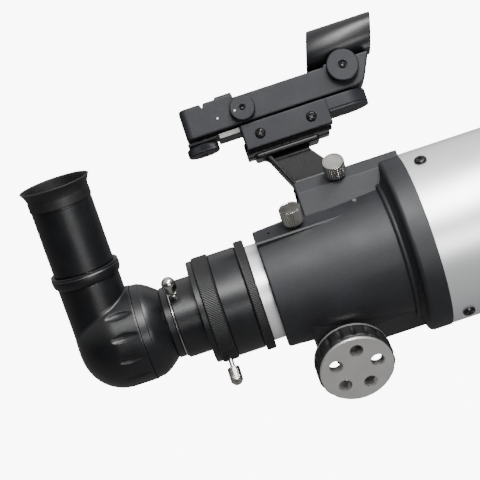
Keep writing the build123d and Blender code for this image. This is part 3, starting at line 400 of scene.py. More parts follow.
def add_lathe(name, profile, segments, place, body, node=None, slot=None, relief=None, sharp=35,
              material=None):
    points, faces = lathe(profile, segments, relief)
    add_piece(name, moved(points, place), faces, body, node, slot, sharp, material)


# ---- smooth solids from distance functions --------------------------------------------------
# A shape is a function of an array of points in mm that gives the distance to its surface,
# negative inside. Shapes join with round fillets and edges, then become a mesh.
def join(a, b, fillet=0.0):
    """Both shapes in one, the corner between them filled."""
    if fillet <= 0:
        return np.minimum(a, b)
    h = np.maximum(fillet - np.abs(a - b), 0) / fillet
    return np.minimum(a, b) - h * h * fillet / 4


def cut(a, b, edge=0.0):
    """a without b, the edges between them rounded."""
    return -join(-a, b, edge)


def overlap(a, b, edge=0.0):
    """What two shapes share, the edges between them rounded."""
    return -join(-a, -b, edge)


def slab(p, low, high, edge=0.0):
    """A box between two corners, its edges rounded."""
    middle, half = (np.array(low) + high) / 2, (np.array(high) - low) / 2
    q = np.abs(p - middle) - half + edge
    return np.linalg.norm(np.maximum(q, 0), axis=-1) + np.minimum(q.max(-1), 0) - edge


def rod(p, start, end, radius, edge=0.0):
    """A round bar between two points, its rims rounded."""
    start, end = np.array(start, float), np.array(end, float)
    length = np.linalg.norm(end - start)
    axis = (end - start) / length
    along = (p - start) @ axis
    out = np.linalg.norm(p - start - along[..., None] * axis, axis=-1)
    q = np.stack([out - radius + edge, np.abs(along - length / 2) - length / 2 + edge], -1)
    return np.linalg.norm(np.maximum(q, 0), axis=-1) + np.minimum(q.max(-1), 0) - edge


def outline_shape(p, points, axis, corner=0.0):
    """A convex outline of points, given anticlockwise, endless along axis 0, 1 or 2."""
    keep = [k for k in range(3) if k != axis]
    flat = p[..., keep]
    value = np.full(p.shape[:-1], -1e9)
    for a, b in zip(points, points[1:] + points[:1]):
        edge = np.subtract(b, a) / math.dist(a, b)
        side = (flat - a) @ np.array((edge[1], -edge[0]))
        value = -join(-value, -side, corner)
    return value


def settle(shape, points, rounds=4):
    """Moves points onto the shape's surface."""
    tiny = 1e-3
    for _ in range(rounds):
        value = shape(points)
        slope = np.stack([shape(points + tiny * axis) - value for axis in np.eye(3)], -1) / tiny
        points = points - value[:, None] * slope / np.maximum((slope ** 2).sum(-1), 0.2)[:, None]
    return points


def skin(shape, low, high, step):
    """Points in mm and quad faces of the shape's surface inside a box, on a grid of step mm."""
    axes = [np.arange(a, b + step, step) for a, b in zip(low, high)]
    inside = shape(np.stack(np.meshgrid(*axes, indexing="ij"), -1)) < 0
    corners = sum(inside[i:inside.shape[0] - 1 + i, j:inside.shape[1] - 1 + j,
                         k:inside.shape[2] - 1 + k].astype(int)
                  for i in (0, 1) for j in (0, 1) for k in (0, 1))
    mixed = (corners > 0) & (corners < 8)
    number = np.full(mixed.shape, -1)
    number[mixed] = np.arange(mixed.sum())
    points = np.array(low) + (np.argwhere(mixed) + 0.5) * step
    faces = []
    for axis in range(3):
        first = [slice(1, -1)] * 3
        second = list(first)
        first[axis], second[axis] = slice(0, -1), slice(1, None)
        here, there = inside[tuple(first)], inside[tuple(second)]
        u, v = [(1, 2), (2, 0), (0, 1)][axis]
        for crossing, turn in ((here & ~there, 1), (~here & there, -1)):
            cell = np.argwhere(crossing)
            cell[:, u] += 1
            cell[:, v] += 1
            corner = []
            for du, dv in ((-1, -1), (0, -1), (0, 0), (-1, 0))[::turn]:
                c = cell.copy()
                c[:, u] += du
                c[:, v] += dv
                corner.append(number[tuple(c.T)])
            faces.append(np.stack(corner, -1))
    return settle(shape, points), np.concatenate(faces)


def add_skin(name, shape, low, high, step, place, body, node=None, slot=None, sharp=50,
             material=None):
    points, faces = skin(shape, low, high, step)
    add_piece(name, moved(points, place), faces.tolist(), body, node, slot, sharp, material)


# ---- knurled rings of the drawtube ----------------------------------------------------------
KNURLED = finish("knurled_black", (0.007, 0.0072, 0.008), 0.0, 0.52, 0.3, 0.1, 0.25, 14, 0.15)
KNURL_PITCH, KNURL_DEPTH, KNURL_EDGE = 1.2, 0.30, 0.7
KNURL_STEP, KNURL_FADE = 0.35, 0.35
ON_RIM = 0.05                     # how far below the rim a point still counts as on it


def knurled_ring(name, low, high, radius, bore):
    """A ring between two places along X, its edges bevelled and its rim knurled at 45 degrees."""
    count = round(2 * math.pi * radius / (KNURL_PITCH * math.sqrt(2)))
    lean = count / radius

    def relief(heights, angles, radii):
        ridge = 0.5 - 0.5 * np.cos(count * angles - lean * heights)
        inside = np.minimum(heights - low, high - heights) - KNURL_EDGE
        return radii - KNURL_DEPTH * ridge * np.clip(inside / KNURL_FADE, 0, 1) * (radii > radius - ON_RIM)

    outer = [(low, radius - KNURL_EDGE), (low + KNURL_EDGE, radius), (high - KNURL_EDGE, radius),
             (high, radius - KNURL_EDGE)]
    add_lathe(name, dense(outer, KNURL_STEP) + bore, count * 6, ALONG_X, "drawtube", name,
              relief=relief, material=KNURLED)


DRAW_R, DRAW_WALL = radius_of("drawtube"), 2.5
DRAW_BORE_R, TWO_INCH_R, GAP = DRAW_R - DRAW_WALL, 25.45, 0.05
RING_SHOULDER = 6.0               # knurled length of the end ring, ahead of which it is a sleeve

ring_low, ring_high = span("drawtube_end_ring")
sleeve_end = min(ring_high, span("drawtube")[0] - GAP)
knurled_ring("drawtube_end_ring", ring_low, ring_low + RING_SHOULDER, radius_of("drawtube_end_ring"),
             [(ring_low + RING_SHOULDER, DRAW_R + GAP), (sleeve_end, DRAW_R + GAP),
              (sleeve_end, DRAW_BORE_R), (ring_low, DRAW_BORE_R)])
clamp_low, clamp_high = span("clamp_ring")
knurled_ring("clamp_ring", clamp_low, clamp_high, radius_of("clamp_ring"),
             [(clamp_high, TWO_INCH_R), (clamp_low, TWO_INCH_R)])


# ---- thumbscrews ----------------------------------------------------------------------------
LARGE_CAP, LARGE_SHAFT, RIBS, RIB_DEPTH = 10.6, 2.0, 30, 0.5


def joint_frame(name):
    """Frame in mm at a joint, its Z along the joint's axis."""
    return place_along(joint_place(name), joints[name]["axis"])


def straight_ribs(radius, count, depth):
    """Rounded ribs along a cap, with narrow grooves between them."""
    def relief(heights, angles, radii):
        groove = (0.5 + 0.5 * np.cos(count * angles)) ** 2
        return radii - depth * groove * (radii > radius - ON_RIM)
    return relief


def ribbed_thumbscrew(node, joint):
    """A shaft under a straight-knurled cap with a turned, slightly dished top."""
    place = joint_frame(joint)
    low, top, radius = reach(node, place)
    base, edge, shaft_r = top - LARGE_CAP, 0.45, LARGE_SHAFT
    cap = [(base, shaft_r), (base, radius - 1.1), (base + 0.9, radius - 0.45), (base + 1.1, radius),
           (top - edge, radius), (top, radius - edge), (top, radius - 1.0), (top - 0.25, radius - 1.3)]
    profile = [(low, 0), (low, shaft_r - 0.4), (low + 0.4, shaft_r)] + dense(cap, 1.2) + [(top - 0.25, 0)]
    add_lathe(node + "_cap", profile, RIBS * 8, place, node, node,
              relief=straight_ribs(radius, RIBS, RIB_DEPTH), sharp=28)


ribbed_thumbscrew("focus_lock_screw", "focus_lock_turn")
ribbed_thumbscrew("shoe_screw_near", "shoe_near_turn")
ribbed_thumbscrew("shoe_screw_far", "shoe_far_turn")


def adapter_clamp():
    """Small thumbscrew with a diamond-knurled cap that bevels in to a shallow round hollow in its end."""
    node = "adapter_clamp_screw"
    place = joint_frame("adapter_clamp_turn")
    low, top, radius = reach(node, place)
    cap_length, shaft_r, count, depth = 10.7, 1.5, 30, 0.20
    base, lean = top - cap_length, count / radius

    def diamonds(heights, angles, radii):
        left = np.cos(count / 2 * angles - lean * heights / 2)
        right = np.cos(count / 2 * angles + lean * heights / 2)
        return radii - depth * (1 - np.abs(left * right)) * (radii > radius - ON_RIM)

    cap = [(base, shaft_r), (base, radius - 0.6), (base + 0.5, radius), (top - 2.2, radius),
           (top - 0.6, radius - 1.3), (top, radius - 1.9), (top, 1.2), (top - 1.1, 1.0)]
    profile = [(low, 0), (low, shaft_r - 0.3), (low + 0.3, shaft_r)] + dense(cap, 0.3) + [(top - 1.1, 0)]
    add_lathe(node + "_cap", profile, count * 6, place, node, node, relief=diamonds)


def diagonal_clamp():
    """Polished bullet-shaped thumbscrew with a waist above its washer."""
    node = "diagonal_clamp_screw"
    place = joint_frame("diagonal_clamp_turn")
    low, top, _ = reach(node, place)
    top, radius, cap_length, shaft_r, nose = top + 0.6, 4.15, 14.4, 1.5, 3.9
    base = top - cap_length
    dome = arc((top - nose, radius - nose), nose, 0, 84, 10)
    cap = [(base, shaft_r), (base, 2.5), (base + 0.4, 2.9), (base + 0.9, 2.6), (base + 1.2, 2.0),
           (base + 2.6, 1.9), (base + 3.1, 2.4), (base + 3.9, 3.4), (base + 4.9, 4.0),
           (base + 5.9, radius), (top - nose - 0.2, radius)]
    profile = [(low, 0), (low, shaft_r)] + dense(cap, 0.6) + dome + [(top, 0)]
    add_lathe(node + "_cap", profile, 64, place, node, node, sharp=45)


adapter_clamp()
diagonal_clamp()


# ---- rubber grips of the focus knobs --------------------------------------------------------
SCOOPS, SCOOP_DEPTH, SCOOP_WIDTH, SCOOP_LENGTH = 18, 1.5, 0.17, 5.2
GRIP_BORE_R = 20.05


def knob_grip(node, side):
    """A rubber sleeve between the knob's rims with scooped finger grooves. side is -1 near."""
    pinion = joint_place("focus_knob_turn")
    place = place_along((pinion.x, 0, pinion.z), (0, side, 0))
    low, high, radius = reach(node, place)
    inner, middle = GRIP_BORE_R, (low + high) / 2

    def scoops(heights, angles, radii):
        across = (angles * SCOOPS / (2 * math.pi)) % 1 - 0.5
        along = np.clip(1.15 - np.abs(heights - middle) / SCOOP_LENGTH, 0, 1)
        hollow = np.exp(-(across / SCOOP_WIDTH) ** 2) * along
        return radii - SCOOP_DEPTH * hollow * (radii > inner + 0.5)

    outer = [(low, radius - 0.9), (low + 0.3, radius - 0.3), (low + 1.0, radius),
             (high - 1.0, radius), (high - 0.3, radius - 0.3), (high, radius - 0.9)]
    profile = dense(outer, 0.6) + [(high, inner), (low, inner)]
    add_lathe(node, profile, SCOOPS * 20, place, "pinion", node, relief=scoops, sharp=50)


knob_grip("knob_grip_near", -1)
knob_grip("knob_grip_far", 1)


# ---- small rings that only show ---------------------------------------------------------------
CONE_FRONT_R = 40.5               # radius where the housing's cone meets its flare
BEAD_FROM_RIM = 79.4              # ahead of the housing's rear rim


def nose_highlight_ring():
    """Nickel ring filling the gap between the diagonal's shoulder and the adapter, a painted highlight: it stands
    in for the light caught on the adapter's bevelled rear rim.
    """
    low, high = span("diagonal_shoulder_ring")[1] + 0.03, span("step_down_adapter")[0] - 0.05
    inner, outer = span("diagonal_nose", 1)[1] + 0.05, span("diagonal_shoulder_ring", 1)[1] + 0.5
    profile = [(low, inner), (low, outer - 0.2), (low + 0.2, outer), (high - 0.3, outer),
               (high, outer - 0.3), (high, inner)]
    add_lathe("diagonal_nose_highlight_ring", profile, 180, ALONG_X, "diagonal", slot="nickel")


def flare_bead():
    """Rounded bead cast in the hollow between the housing's cone and its collar."""
    middle, foot, bead = RIM + BEAD_FROM_RIM, CONE_FRONT_R + 0.9, 1.75
    rounded = arc((middle, foot), bead, -100, 100, 24)
    profile = rounded + [(rounded[-1][0], foot - 2.0), (rounded[0][0], foot - 2.0)]
    add_lathe("focuser_flare_bead", profile, 240, ALONG_X, "tube", slot="black_casting", sharp=60)


# the nickel ring built next is a painted highlight in the gap behind the adapter
nose_highlight_ring()
flare_bead()


# ---- eyepiece and diagonal ------------------------------------------------------------------
eye_x = (span("eyepiece_nose")[0] + span("eyepiece_nose")[1]) / 2
EYE_STATION = eye_x - RIM
EYE_FRAME = rolled(DIAGONAL_ROLL) @ Matrix.Translation((EYE_STATION, 0, 0))
BARREL_LOW, BARREL_HIGH, BARREL_R = reach("eyepiece_barrel", EYE_FRAME)
NECK_R = 19.0                     # neck of the diagonal, under its collar


def eyecup():
    """Rubber sleeve over the barrel's top that flares to a thin lip and is ribbed inside."""
    low, rim, lip_r = reach("eyecup", EYE_FRAME)
    sleeve = BARREL_R + 0.45
    bend = low + 5.4
    outside = [(low, sleeve - 0.35), (low + 0.35, sleeve), (bend, sleeve), (bend + 0.2, sleeve - 0.35)]
    flare = [(bend + 0.2 + (rim - bend - 0.6) * t, sleeve - 0.35 + (lip_r + 0.75 - sleeve) * t ** 1.7)
             for t in (0.2, 0.4, 0.6, 0.8, 1.0)]
    lip = [(rim - 0.3, lip_r + 0.5), (rim, lip_r + 0.2), (rim + 0.05, lip_r - 0.25),
           (rim - 0.3, lip_r - 0.7)]
    steps, floor, floor_r, last_r = 7, low + 3.2, 12.2, 15.6
    drop = (rim - 0.6 - floor - 0.8) / steps
    narrowing = (lip_r - 1.0 - last_r) / steps
    inside = []
    for k in range(steps):
        top, top_r = rim - 0.6 - drop * k, lip_r - 1.0 - narrowing * k
        next_r = top_r - narrowing
        inside += [(top, top_r), (top - drop * 0.7, top_r - 0.1), (top - drop * 0.85, next_r - 0.15)]
    profile = outside + flare + lip + inside + [(floor, 14.6), (floor, floor_r), (low, floor_r)]
    add_lathe("eyecup", profile, 160, EYE_FRAME, "eyepiece", "eyecup", sharp=30)


def barrel():
    """Anodised barrel with a fine edge groove under the eyecup and a chamfered foot."""
    low, high, r = BARREL_LOW, BARREL_HIGH, BARREL_R
    profile = [(low, 14.0), (low, r - 0.3), (low + 0.3, r), (high - 1.6, r), (high - 1.4, r - 0.25),
               (high - 1.0, r - 0.25), (high - 0.8, r), (high, r), (high, 12.0), (high - 4, 12.0),
               (high - 4, 14.0)]
    add_lathe("eyepiece_barrel", profile, 160, EYE_FRAME, "eyepiece", "eyepiece_barrel", sharp=30)


def eyepiece_collar():
    """Flared bead round the neck's mouth with a crisp upper rim and a step at its foot."""
    low, high, _ = reach("diagonal_collar", EYE_FRAME)
    bore, neck = 15.95, NECK_R
    bead = [(low, bore), (low, neck), (low + 0.1, neck + 0.5), (low + 0.8, neck + 1.2),
            (low + 2.2, neck + 1.75), (low + 4.0, neck + 2.0), (low + 5.6, neck + 1.95),
            (high - 1.3, neck + 1.5), (high - 1.0, neck + 1.35), (high - 0.8, neck + 1.75),
            (high - 0.25, neck + 1.8), (high, neck + 1.5), (high, bore)]
    add_lathe("diagonal_collar", bead, 160, EYE_FRAME, "diagonal", "diagonal_collar", sharp=32)


def diagonal_front():
    """Front shell: a flat band beside the parting line, a crease, then a dome to the shoulder."""
    low, high = span("diagonal_front_shell")
    low -= 0.08
    seam_r, crease, crease_r = reach("diagonal_front_shell", ALONG_X)[2], low + 4.9, 28.6
    tip_r, bore = 21.0, 17.0
    dome = [(crease + 0.15 + (high - crease - 0.15) * t,
             tip_r + (crease_r - 0.25 - tip_r) * (1 - t ** 1.35))
            for t in (0, 0.1, 0.2, 0.3, 0.4, 0.5, 0.6, 0.7, 0.8, 0.9)]
    profile = [(low, bore), (low, seam_r - 0.35), (low + 0.35, seam_r), (crease - 0.2, crease_r + 0.05),
               (crease, crease_r - 0.1)] + dome + [(high, tip_r), (high, bore)]
    add_lathe("diagonal_front_shell", profile, 200, ALONG_X, "diagonal", "diagonal_front_shell",
              sharp=22)


GROOVE_STATION, GROOVE_SPACING = -90.0, 26.3     # from the housing's rear rim, and degrees apart


def groove(p, angle, drum_r):
    """Lens-shaped finger groove in the drum at an angle from the neck."""
    across = np.array((0, -math.cos(angle), -math.sin(angle)))
    out = np.array((0, -math.sin(angle), math.cos(angle)))
    along, side, depth = p[..., 0] - GROOVE_STATION, p @ across, p @ out - drum_r
    return (np.abs(along) / 8.6) ** 1.5 + (side / 2.7) ** 2 + (depth / 1.5) ** 2 - 1 \
        + 3.0 * np.maximum(-depth / 8, 0)


def diagonal_rear():
    """Rounded drum with a neck, hollow, with a ring of lens-shaped grooves."""
    low, seam = (edge - RIM for edge in span("diagonal_rear_shell"))
    drum_r, neck_r, wall, corner = 29.5, NECK_R, 2.6, 26.0
    top = reach("diagonal_rear_shell", EYE_FRAME)[1]
    angles = [math.radians(180 + GROOVE_SPACING * k) for k in range(-5, 6)]

    def shape(p):
        drum = rod(p, (low, 0, 0), (seam + 60, 0, 0), drum_r, corner)
        neck = rod(p, (EYE_STATION, 0, 0), (EYE_STATION, 0, top), neck_r)
        body = join(drum, neck, 1.2)
        for angle in angles:
            body = cut(body, groove(p, angle, drum_r) * 1.5, 0.25)
        body = cut(body, rod(p, (low + wall, 0, 0), (seam + 60, 0, 0), drum_r - wall, corner - wall))
        body = cut(body, rod(p, (EYE_STATION, 0, 4), (EYE_STATION, 0, top + 3), neck_r - wall))
        return overlap(body, p[..., 0] - seam, 0.3)

    half = drum_r + 1.5
    add_skin("diagonal_rear_shell", shape, (low - 1, -half, -half), (seam + 1, half, top + 1), 0.55,
             rolled(DIAGONAL_ROLL), "diagonal", "diagonal_rear_shell")


eyecup()
barrel()
eyepiece_collar()
diagonal_front()
diagonal_rear()


# ---- finder ---------------------------------------------------------------------------------
# Shapes are in the finder's own frame: X along the tube, Y away from the near side, Z outwards.
AZIMUTH_PIVOT_X = 47.0            # the finder's X starts this far behind the azimuth joint
ALTITUDE_PIVOT_X, ALTITUDE_PIVOT_Z, ALTITUDE_PIN_R = 86.75, 104.5, 1.5
FINDER = rolled(FINDER_ROLL, joint_place("finder_azimuth").x - AZIMUTH_PIVOT_X)
BODY_REAR, BODY_LOW, BODY_HIGH, BODY_HALF = -11.8, 99.2, 118.4, 12.5
BUMP_REAR, BUMP_FRONT, BUMP_RISE = 11.7, 22.3, 1.1
BASE_REAR, BASE_FRONT, BASE_LOW, BASE_HIGH, BASE_HALF = 21.3, 75.0, 82.4, 98.1, 13.0
ARM_REAR, ARM_LOW = -12.0, 96.4
FOOT_HALF, FOOT_LOW, FOOT_REAR, FOOT_FRONT = 15.3, 45.4, 42.0, 93.0
RAIL_REAR, RAIL_FRONT, RAIL_TOP = 20.0, 71.7, 87.5
SCREW_X, SCREW_Z = (31.6, 63.7), 90.0
KNOB_X, KNOB_Z = -3.8, 90.2
LABEL_Y, POST_TOP = -9.5, 103.0   # near face of the label block, top of the azimuth post
POD_X, POD_R, POD_LOW = 87.6, 12.5, 90.4
CAP_LOW, CAP_HIGH = 88.6, 90.35
SWITCH_X, SWITCH_Z, SWITCH_R, SWITCH_TALL = 26.0, 107.4, 7.75, 4.5
AZIMUTH_X, AZIMUTH_Z, AZIMUTH_R, AZIMUTH_TALL = 90.8, 112.8, 9.75, 5.5
HOOD_LOW, HOOD_HIGH, HOOD_HALF, HOOD_WALL, HOOD_LEAN = 117.6, 142.2, 12.7, 1.6, 8.0
HOOD_SEGMENTS, HOOD_SQUARENESS, HOOD_REAR, HOOD_FRONT, WINDOW_REAR = 160, 2.3, 70.0, 110.4, 100.0
DIAL_GAP, DIAL_SHAFT = 0.6, 2.0
FAR = 140.0                       # past every face of the finder
SATIN = finish("finder_satin", (0.011, 0.0117, 0.0152), 0.0, 0.48, 0.40, 0.25, 0.30, 16, 0.10,
               Specular_IOR_Level=0.28)
GLOSS = finish("bracket_plastic", (0.004, 0.004, 0.0045), 0.0, 0.28, 0.6, 0.01, 0.25, 14, 0.15,
               Specular_IOR_Level=0.25)
FOIL = finish("label_foil", (0.20, 0.20, 0.19), 0.3, 0.45, 0.8, 0.3, 0.5, 3, 0.3)


def between(value, low, high):
    """A slice of space between two values of a coordinate."""
    return np.abs(value - (low + high) / 2) - (high - low) / 2


def finder_body(p):
    """Long case with a rounded rear, a sight notch, a rear bump and a stepped top edge."""
    step, low_top = 80.0, BODY_HIGH - 2.2
    side = [(BODY_REAR, BODY_LOW), (97.4, BODY_LOW), (100.8, BODY_LOW + 1.4),
            (108.9, BODY_HIGH - 1.0), (108.0, BODY_HIGH), (BODY_REAR, BODY_HIGH)]
    plan = [(BODY_REAR, -BODY_HALF), (FAR, -BODY_HALF), (FAR, BODY_HALF), (BODY_REAR, BODY_HALF)]
    shape = overlap(outline_shape(p, side, 1, 2.2), outline_shape(p, plan, 2, 5.0), 1.1)
    shape = cut(shape, slab(p, (BUMP_FRONT + 0.3, -30, low_top), (step, 30, FAR)), 0.5)
    shape = cut(shape, slab(p, (step, -30, BODY_HIGH - 1.0), (FAR, 30, FAR)), 0.5)
    shape = cut(shape, slab(p, (BUMP_FRONT + 1.1, -30, low_top - 1.2),
                            (step - 1.0, 0.7 - BODY_HALF, FAR)), 0.3)
    bump = slab(p, (BUMP_REAR, 0.1 - BODY_HALF, 113),
                (BUMP_FRONT, BODY_HALF - 0.1, BODY_HIGH + BUMP_RISE), 0.3)
    shape = join(shape, bump)
    notch = outline_shape(p, [(3.1, BODY_HIGH - 2.9), (12.7, FAR), (-6.5, FAR)], 1)
    shape = cut(shape, notch, 0.4)
    shape = cut(shape, slab(p, (39.0, -8.5, BODY_LOW - 2), (92.75, 8.5, 110.5), 0.5), 0.4)
    for x, height in ((SWITCH_X, SWITCH_Z), (AZIMUTH_X, AZIMUTH_Z)):
        shape = cut(shape, rod(p, (x, -BODY_HALF - 2, height), (x, -5.5, height), DIAL_SHAFT + 0.15))
    pin = rod(p, (ALTITUDE_PIVOT_X, -9, ALTITUDE_PIVOT_Z), (ALTITUDE_PIVOT_X, 9, ALTITUDE_PIVOT_Z),
              ALTITUDE_PIN_R)
    return join(shape, pin)


def pod(p, low, high, gap=0.0):
    """Battery pod in plan: straight sides from the clamp block, then a half round."""
    straight = slab(p, (BASE_FRONT + gap - 3, -POD_R, low), (POD_X + 0.5, POD_R, high), 0.5)
    shape = join(straight, rod(p, (POD_X, 0, low), (POD_X, 0, high), POD_R, 0.5))
    return np.maximum(shape, BASE_FRONT + gap - p[..., 0])


def finder_base(p):
    """Clamp block over the rail with the battery pod ahead and the adjuster's arm behind."""
    shape = slab(p, (BASE_REAR, -BASE_HALF, BASE_LOW), (BASE_FRONT, BASE_HALF, BASE_HIGH), 0.6)
    shape = join(shape, pod(p, POD_LOW, BASE_HIGH))
    shape = cut(shape, rod(p, (POD_X, 0, 85.0), (POD_X, 0, 95.0), POD_R - 1.8))
    arm = slab(p, (ARM_REAR, -7.5, ARM_LOW), (BASE_REAR + 2, 7.5, BASE_HIGH), 0.3)
    label = slab(p, (6.9, LABEL_Y, 94.6), (BASE_REAR + 2, -LABEL_Y, BASE_HIGH), 0.4)
    shape = join(shape, cut(join(arm, label), rod(p, (KNOB_X, 0, 90), (KNOB_X, 0, 100), 1.7)))
    post = rod(p, (AZIMUTH_PIVOT_X, 0, BASE_HIGH - 1), (AZIMUTH_PIVOT_X, 0, POST_TOP), 2.5)
    shape = join(shape, post)
    slide = join(slab(p, (-50, -6.3, 70), (150, 6.3, 84)),
                 outline_shape(p, [(-6.3, 83), (6.3, 83), (8.85, 87.85), (-8.85, 87.85)], 0))
    shape = cut(shape, slide, 0.2)
    for station in SCREW_X:
        shape = cut(shape, rod(p, (station, -20, SCREW_Z), (station, -8.6, SCREW_Z), 1.62))
    return shape


def battery_cap(p):
    """Lid under the pod with a coin slot."""
    shape = pod(p, CAP_LOW, CAP_HIGH, 0.3)
    return cut(shape, slab(p, (POD_X - 5, -0.7, 87), (POD_X + 5, 0.7, 89.2), 0.1), 0.2)


def finder_bracket(p):
    """Dovetail foot, slanted stem with a rear flange, a bead-edged top plate, and the rail."""
    x, y, z = p[..., 0], p[..., 1], p[..., 2]
    foot = outline_shape(p, [(-FOOT_HALF, FOOT_LOW), (FOOT_HALF, FOOT_LOW), (11.9, 54.5),
                             (-11.9, 54.5)], 0, 0.4)
    foot = overlap(foot, between(x, FOOT_REAR, FOOT_FRONT), 0.5)
    stem = outline_shape(p, [(42, 52), (73.8, 52), (54, 78), (29.5, 78)], 1, 0.3)
    stem = overlap(stem, np.abs(y) - 3.0, 0.6)
    flange = outline_shape(p, [(41.7, 52.5), (44.2, 52.5), (32.9, 78), (30.2, 78)], 1, 0.3)
    flange = overlap(flange, np.abs(y) - 8.5, 0.6)
    plan = slab(p * (1, 1, 0), (23.8, -10.6, -1), (65.3, 10.6, 1), 2.6)
    top = overlap(plan, between(z, 76.0, 79.6), 1.5)
    dovetail = outline_shape(p, [(-6, 83), (6, 83), (8.5, RAIL_TOP), (-8.5, RAIL_TOP)], 0, 0.3)
    rail = join(slab(p, (RAIL_REAR, -6, 78), (RAIL_FRONT, 6, 84), 0.5),
                overlap(dovetail, between(x, RAIL_REAR, RAIL_FRONT), 0.5))
    shape = join(join(join(foot, stem, 2.5), top, 4.0), flange)
    return join(shape, rail, 0.3)


def on_near_side(x, y, z, spin=0.0):
    """Frame facing away from the finder's near side, turned by spin degrees."""
    turn = FINDER.to_3x3()
    place = place_along(FINDER @ Vector((x, y, z)), turn @ Vector((0, -1, 0)), turn @ Vector((1, 0, 0)))
    return place @ Matrix.Rotation(math.radians(spin), 4, "Z")


def dial(name, x, z, radius, tall, recess, depth):
    """A flat knob with a bevelled rim, and a hollow in the middle for its bolt."""
    turn = FINDER.to_3x3()
    place = place_along(FINDER @ Vector((x, -BODY_HALF - DIAL_GAP, z)), turn @ Vector((0, -1, 0)),
                        turn @ Vector((-1, 0, 0)))
    floor = tall - 1.6
    profile = [(-depth, 0), (-depth, DIAL_SHAFT - 0.3), (0.3 - depth, DIAL_SHAFT), (0, DIAL_SHAFT),
               (0, radius - 0.35), (0.35, radius), (tall - 0.7, radius), (tall - 0.5, radius - 0.06),
               (tall - 0.06, radius - 0.5), (tall, radius - 0.7), (tall, radius - 0.85),
               (tall, recess + 0.45), (tall, recess + 0.3),
               (tall - 0.1, recess + 0.05), (tall - 0.3, recess), (floor, recess), (floor, 0)]
    add_lathe(name + "_dial", profile, 120, place, name, name, sharp=30, material=SATIN)
    return place


def pan_head(p, radius, tall):
    """Domed screw head on its seat at zero, with a tapered cross recess."""
    x, y, z = np.abs(p[..., 0]), np.abs(p[..., 1]), p[..., 2]
    ball = (radius ** 2 + tall ** 2) / (2 * tall) * 1.05
    head = overlap(rod(p, (0, 0, 0), (0, 0, tall + 1), radius, 0.1),
                   np.linalg.norm(p - (0, 0, tall - ball), axis=-1) - ball, 0.5)
    across, along = np.minimum(x, y), np.maximum(x, y)
    sink = np.clip((tall - z) / tall, 0, 1)
    cross = np.maximum(across - radius * (0.19 - 0.09 * sink), along - radius * (0.72 - 0.5 * sink))
    return cut(head, np.maximum(cross, 0.25 * tall - z), 0.12)


def screw_mesh(radius, tall, shank, length, place, step):
    """Points and faces of a pan head screw of shank radius shank that goes length deep."""
    def shape(p):
        return join(pan_head(p, radius, tall), rod(p, (0, 0, -length), (0, 0, 0.3), shank))

    points, faces = skin(shape, (-radius - step, -radius - step, -length - step),
                         (radius + step, radius + step, tall + step), step)
    return moved(points, place), faces


def merged(parts):
    """Several meshes in one."""
    count, points, faces = 0, [], []
    for some, polygons in parts:
        points.append(some)
        faces.append(np.asarray(polygons) + count)
        count += len(some)
    return np.concatenate(points), np.concatenate(faces).tolist()


def add_finder_skin(name, shape, low, high, step, body, material):
    """Mesh of a shape that fills the box from low to high, with a margin around it."""
    margin = 1.0
    add_skin(name, shape, np.array(low) - margin, np.array(high) + margin, step, FINDER, body, name,
             sharp=32, material=material)


def hood_ring(half_y, half_z, x_at_bottom):
    """A slanted ring of points on a rounded oblong."""
    turns = np.arange(HOOD_SEGMENTS) * 2 * math.pi / HOOD_SEGMENTS
    square = 2 / HOOD_SQUARENESS
    y = half_y * np.sign(np.cos(turns)) * np.abs(np.cos(turns)) ** square
    z = half_z * np.sign(np.sin(turns)) * np.abs(np.sin(turns)) ** square
    z += (HOOD_LOW + HOOD_HIGH) / 2
    x = x_at_bottom + HOOD_LEAN * (z - HOOD_LOW + 1) / (HOOD_HIGH - HOOD_LOW + 2)
    return np.stack([x, y, z], -1)


def ring_faces(rings, closed):
    """Quads between rings of points, and from the last to the first if closed."""
    around = np.arange(HOOD_SEGMENTS)
    beside = (around + 1) % HOOD_SEGMENTS
    faces = []
    for i in range(rings if closed else rings - 1):
        here, there = i * HOOD_SEGMENTS, (i + 1) % rings * HOOD_SEGMENTS
        faces += np.stack([here + around, here + beside, there + beside, there + around], -1).tolist()
    return faces


def hood_and_window():
    """Slanted tube with rounded rims, and the window set inside it."""
    half_y, half_z = HOOD_HALF, (HOOD_HIGH - HOOD_LOW) / 2
    round_off = [(0.0, 0.5), (0.15, 0.15), (0.5, 0.0)]
    outer = [hood_ring(half_y - cut_in, half_z - cut_in, HOOD_REAR + along) for along, cut_in in round_off]
    outer += [hood_ring(half_y - cut_in, half_z - cut_in, HOOD_FRONT - along)
              for along, cut_in in round_off[::-1]]
    inner = [hood_ring(half_y - HOOD_WALL, half_z - HOOD_WALL, x) for x in (HOOD_FRONT, HOOD_REAR)]
    add_piece("finder_hood", moved(np.concatenate(outer + inner), FINDER), ring_faces(8, True),
              "finder_body", "finder_hood", sharp=40)
    inset = HOOD_WALL + 0.15
    plate = [hood_ring(half_y - inset, half_z - inset, WINDOW_REAR + x) for x in (0.0, 2.0)]
    last = list(range(HOOD_SEGMENTS))
    faces = ring_faces(2, False) + [last[::-1], [k + HOOD_SEGMENTS for k in last]]
    add_piece("finder_window", moved(np.concatenate(plate), FINDER), faces,
              "finder_body", "finder_window", sharp=40)


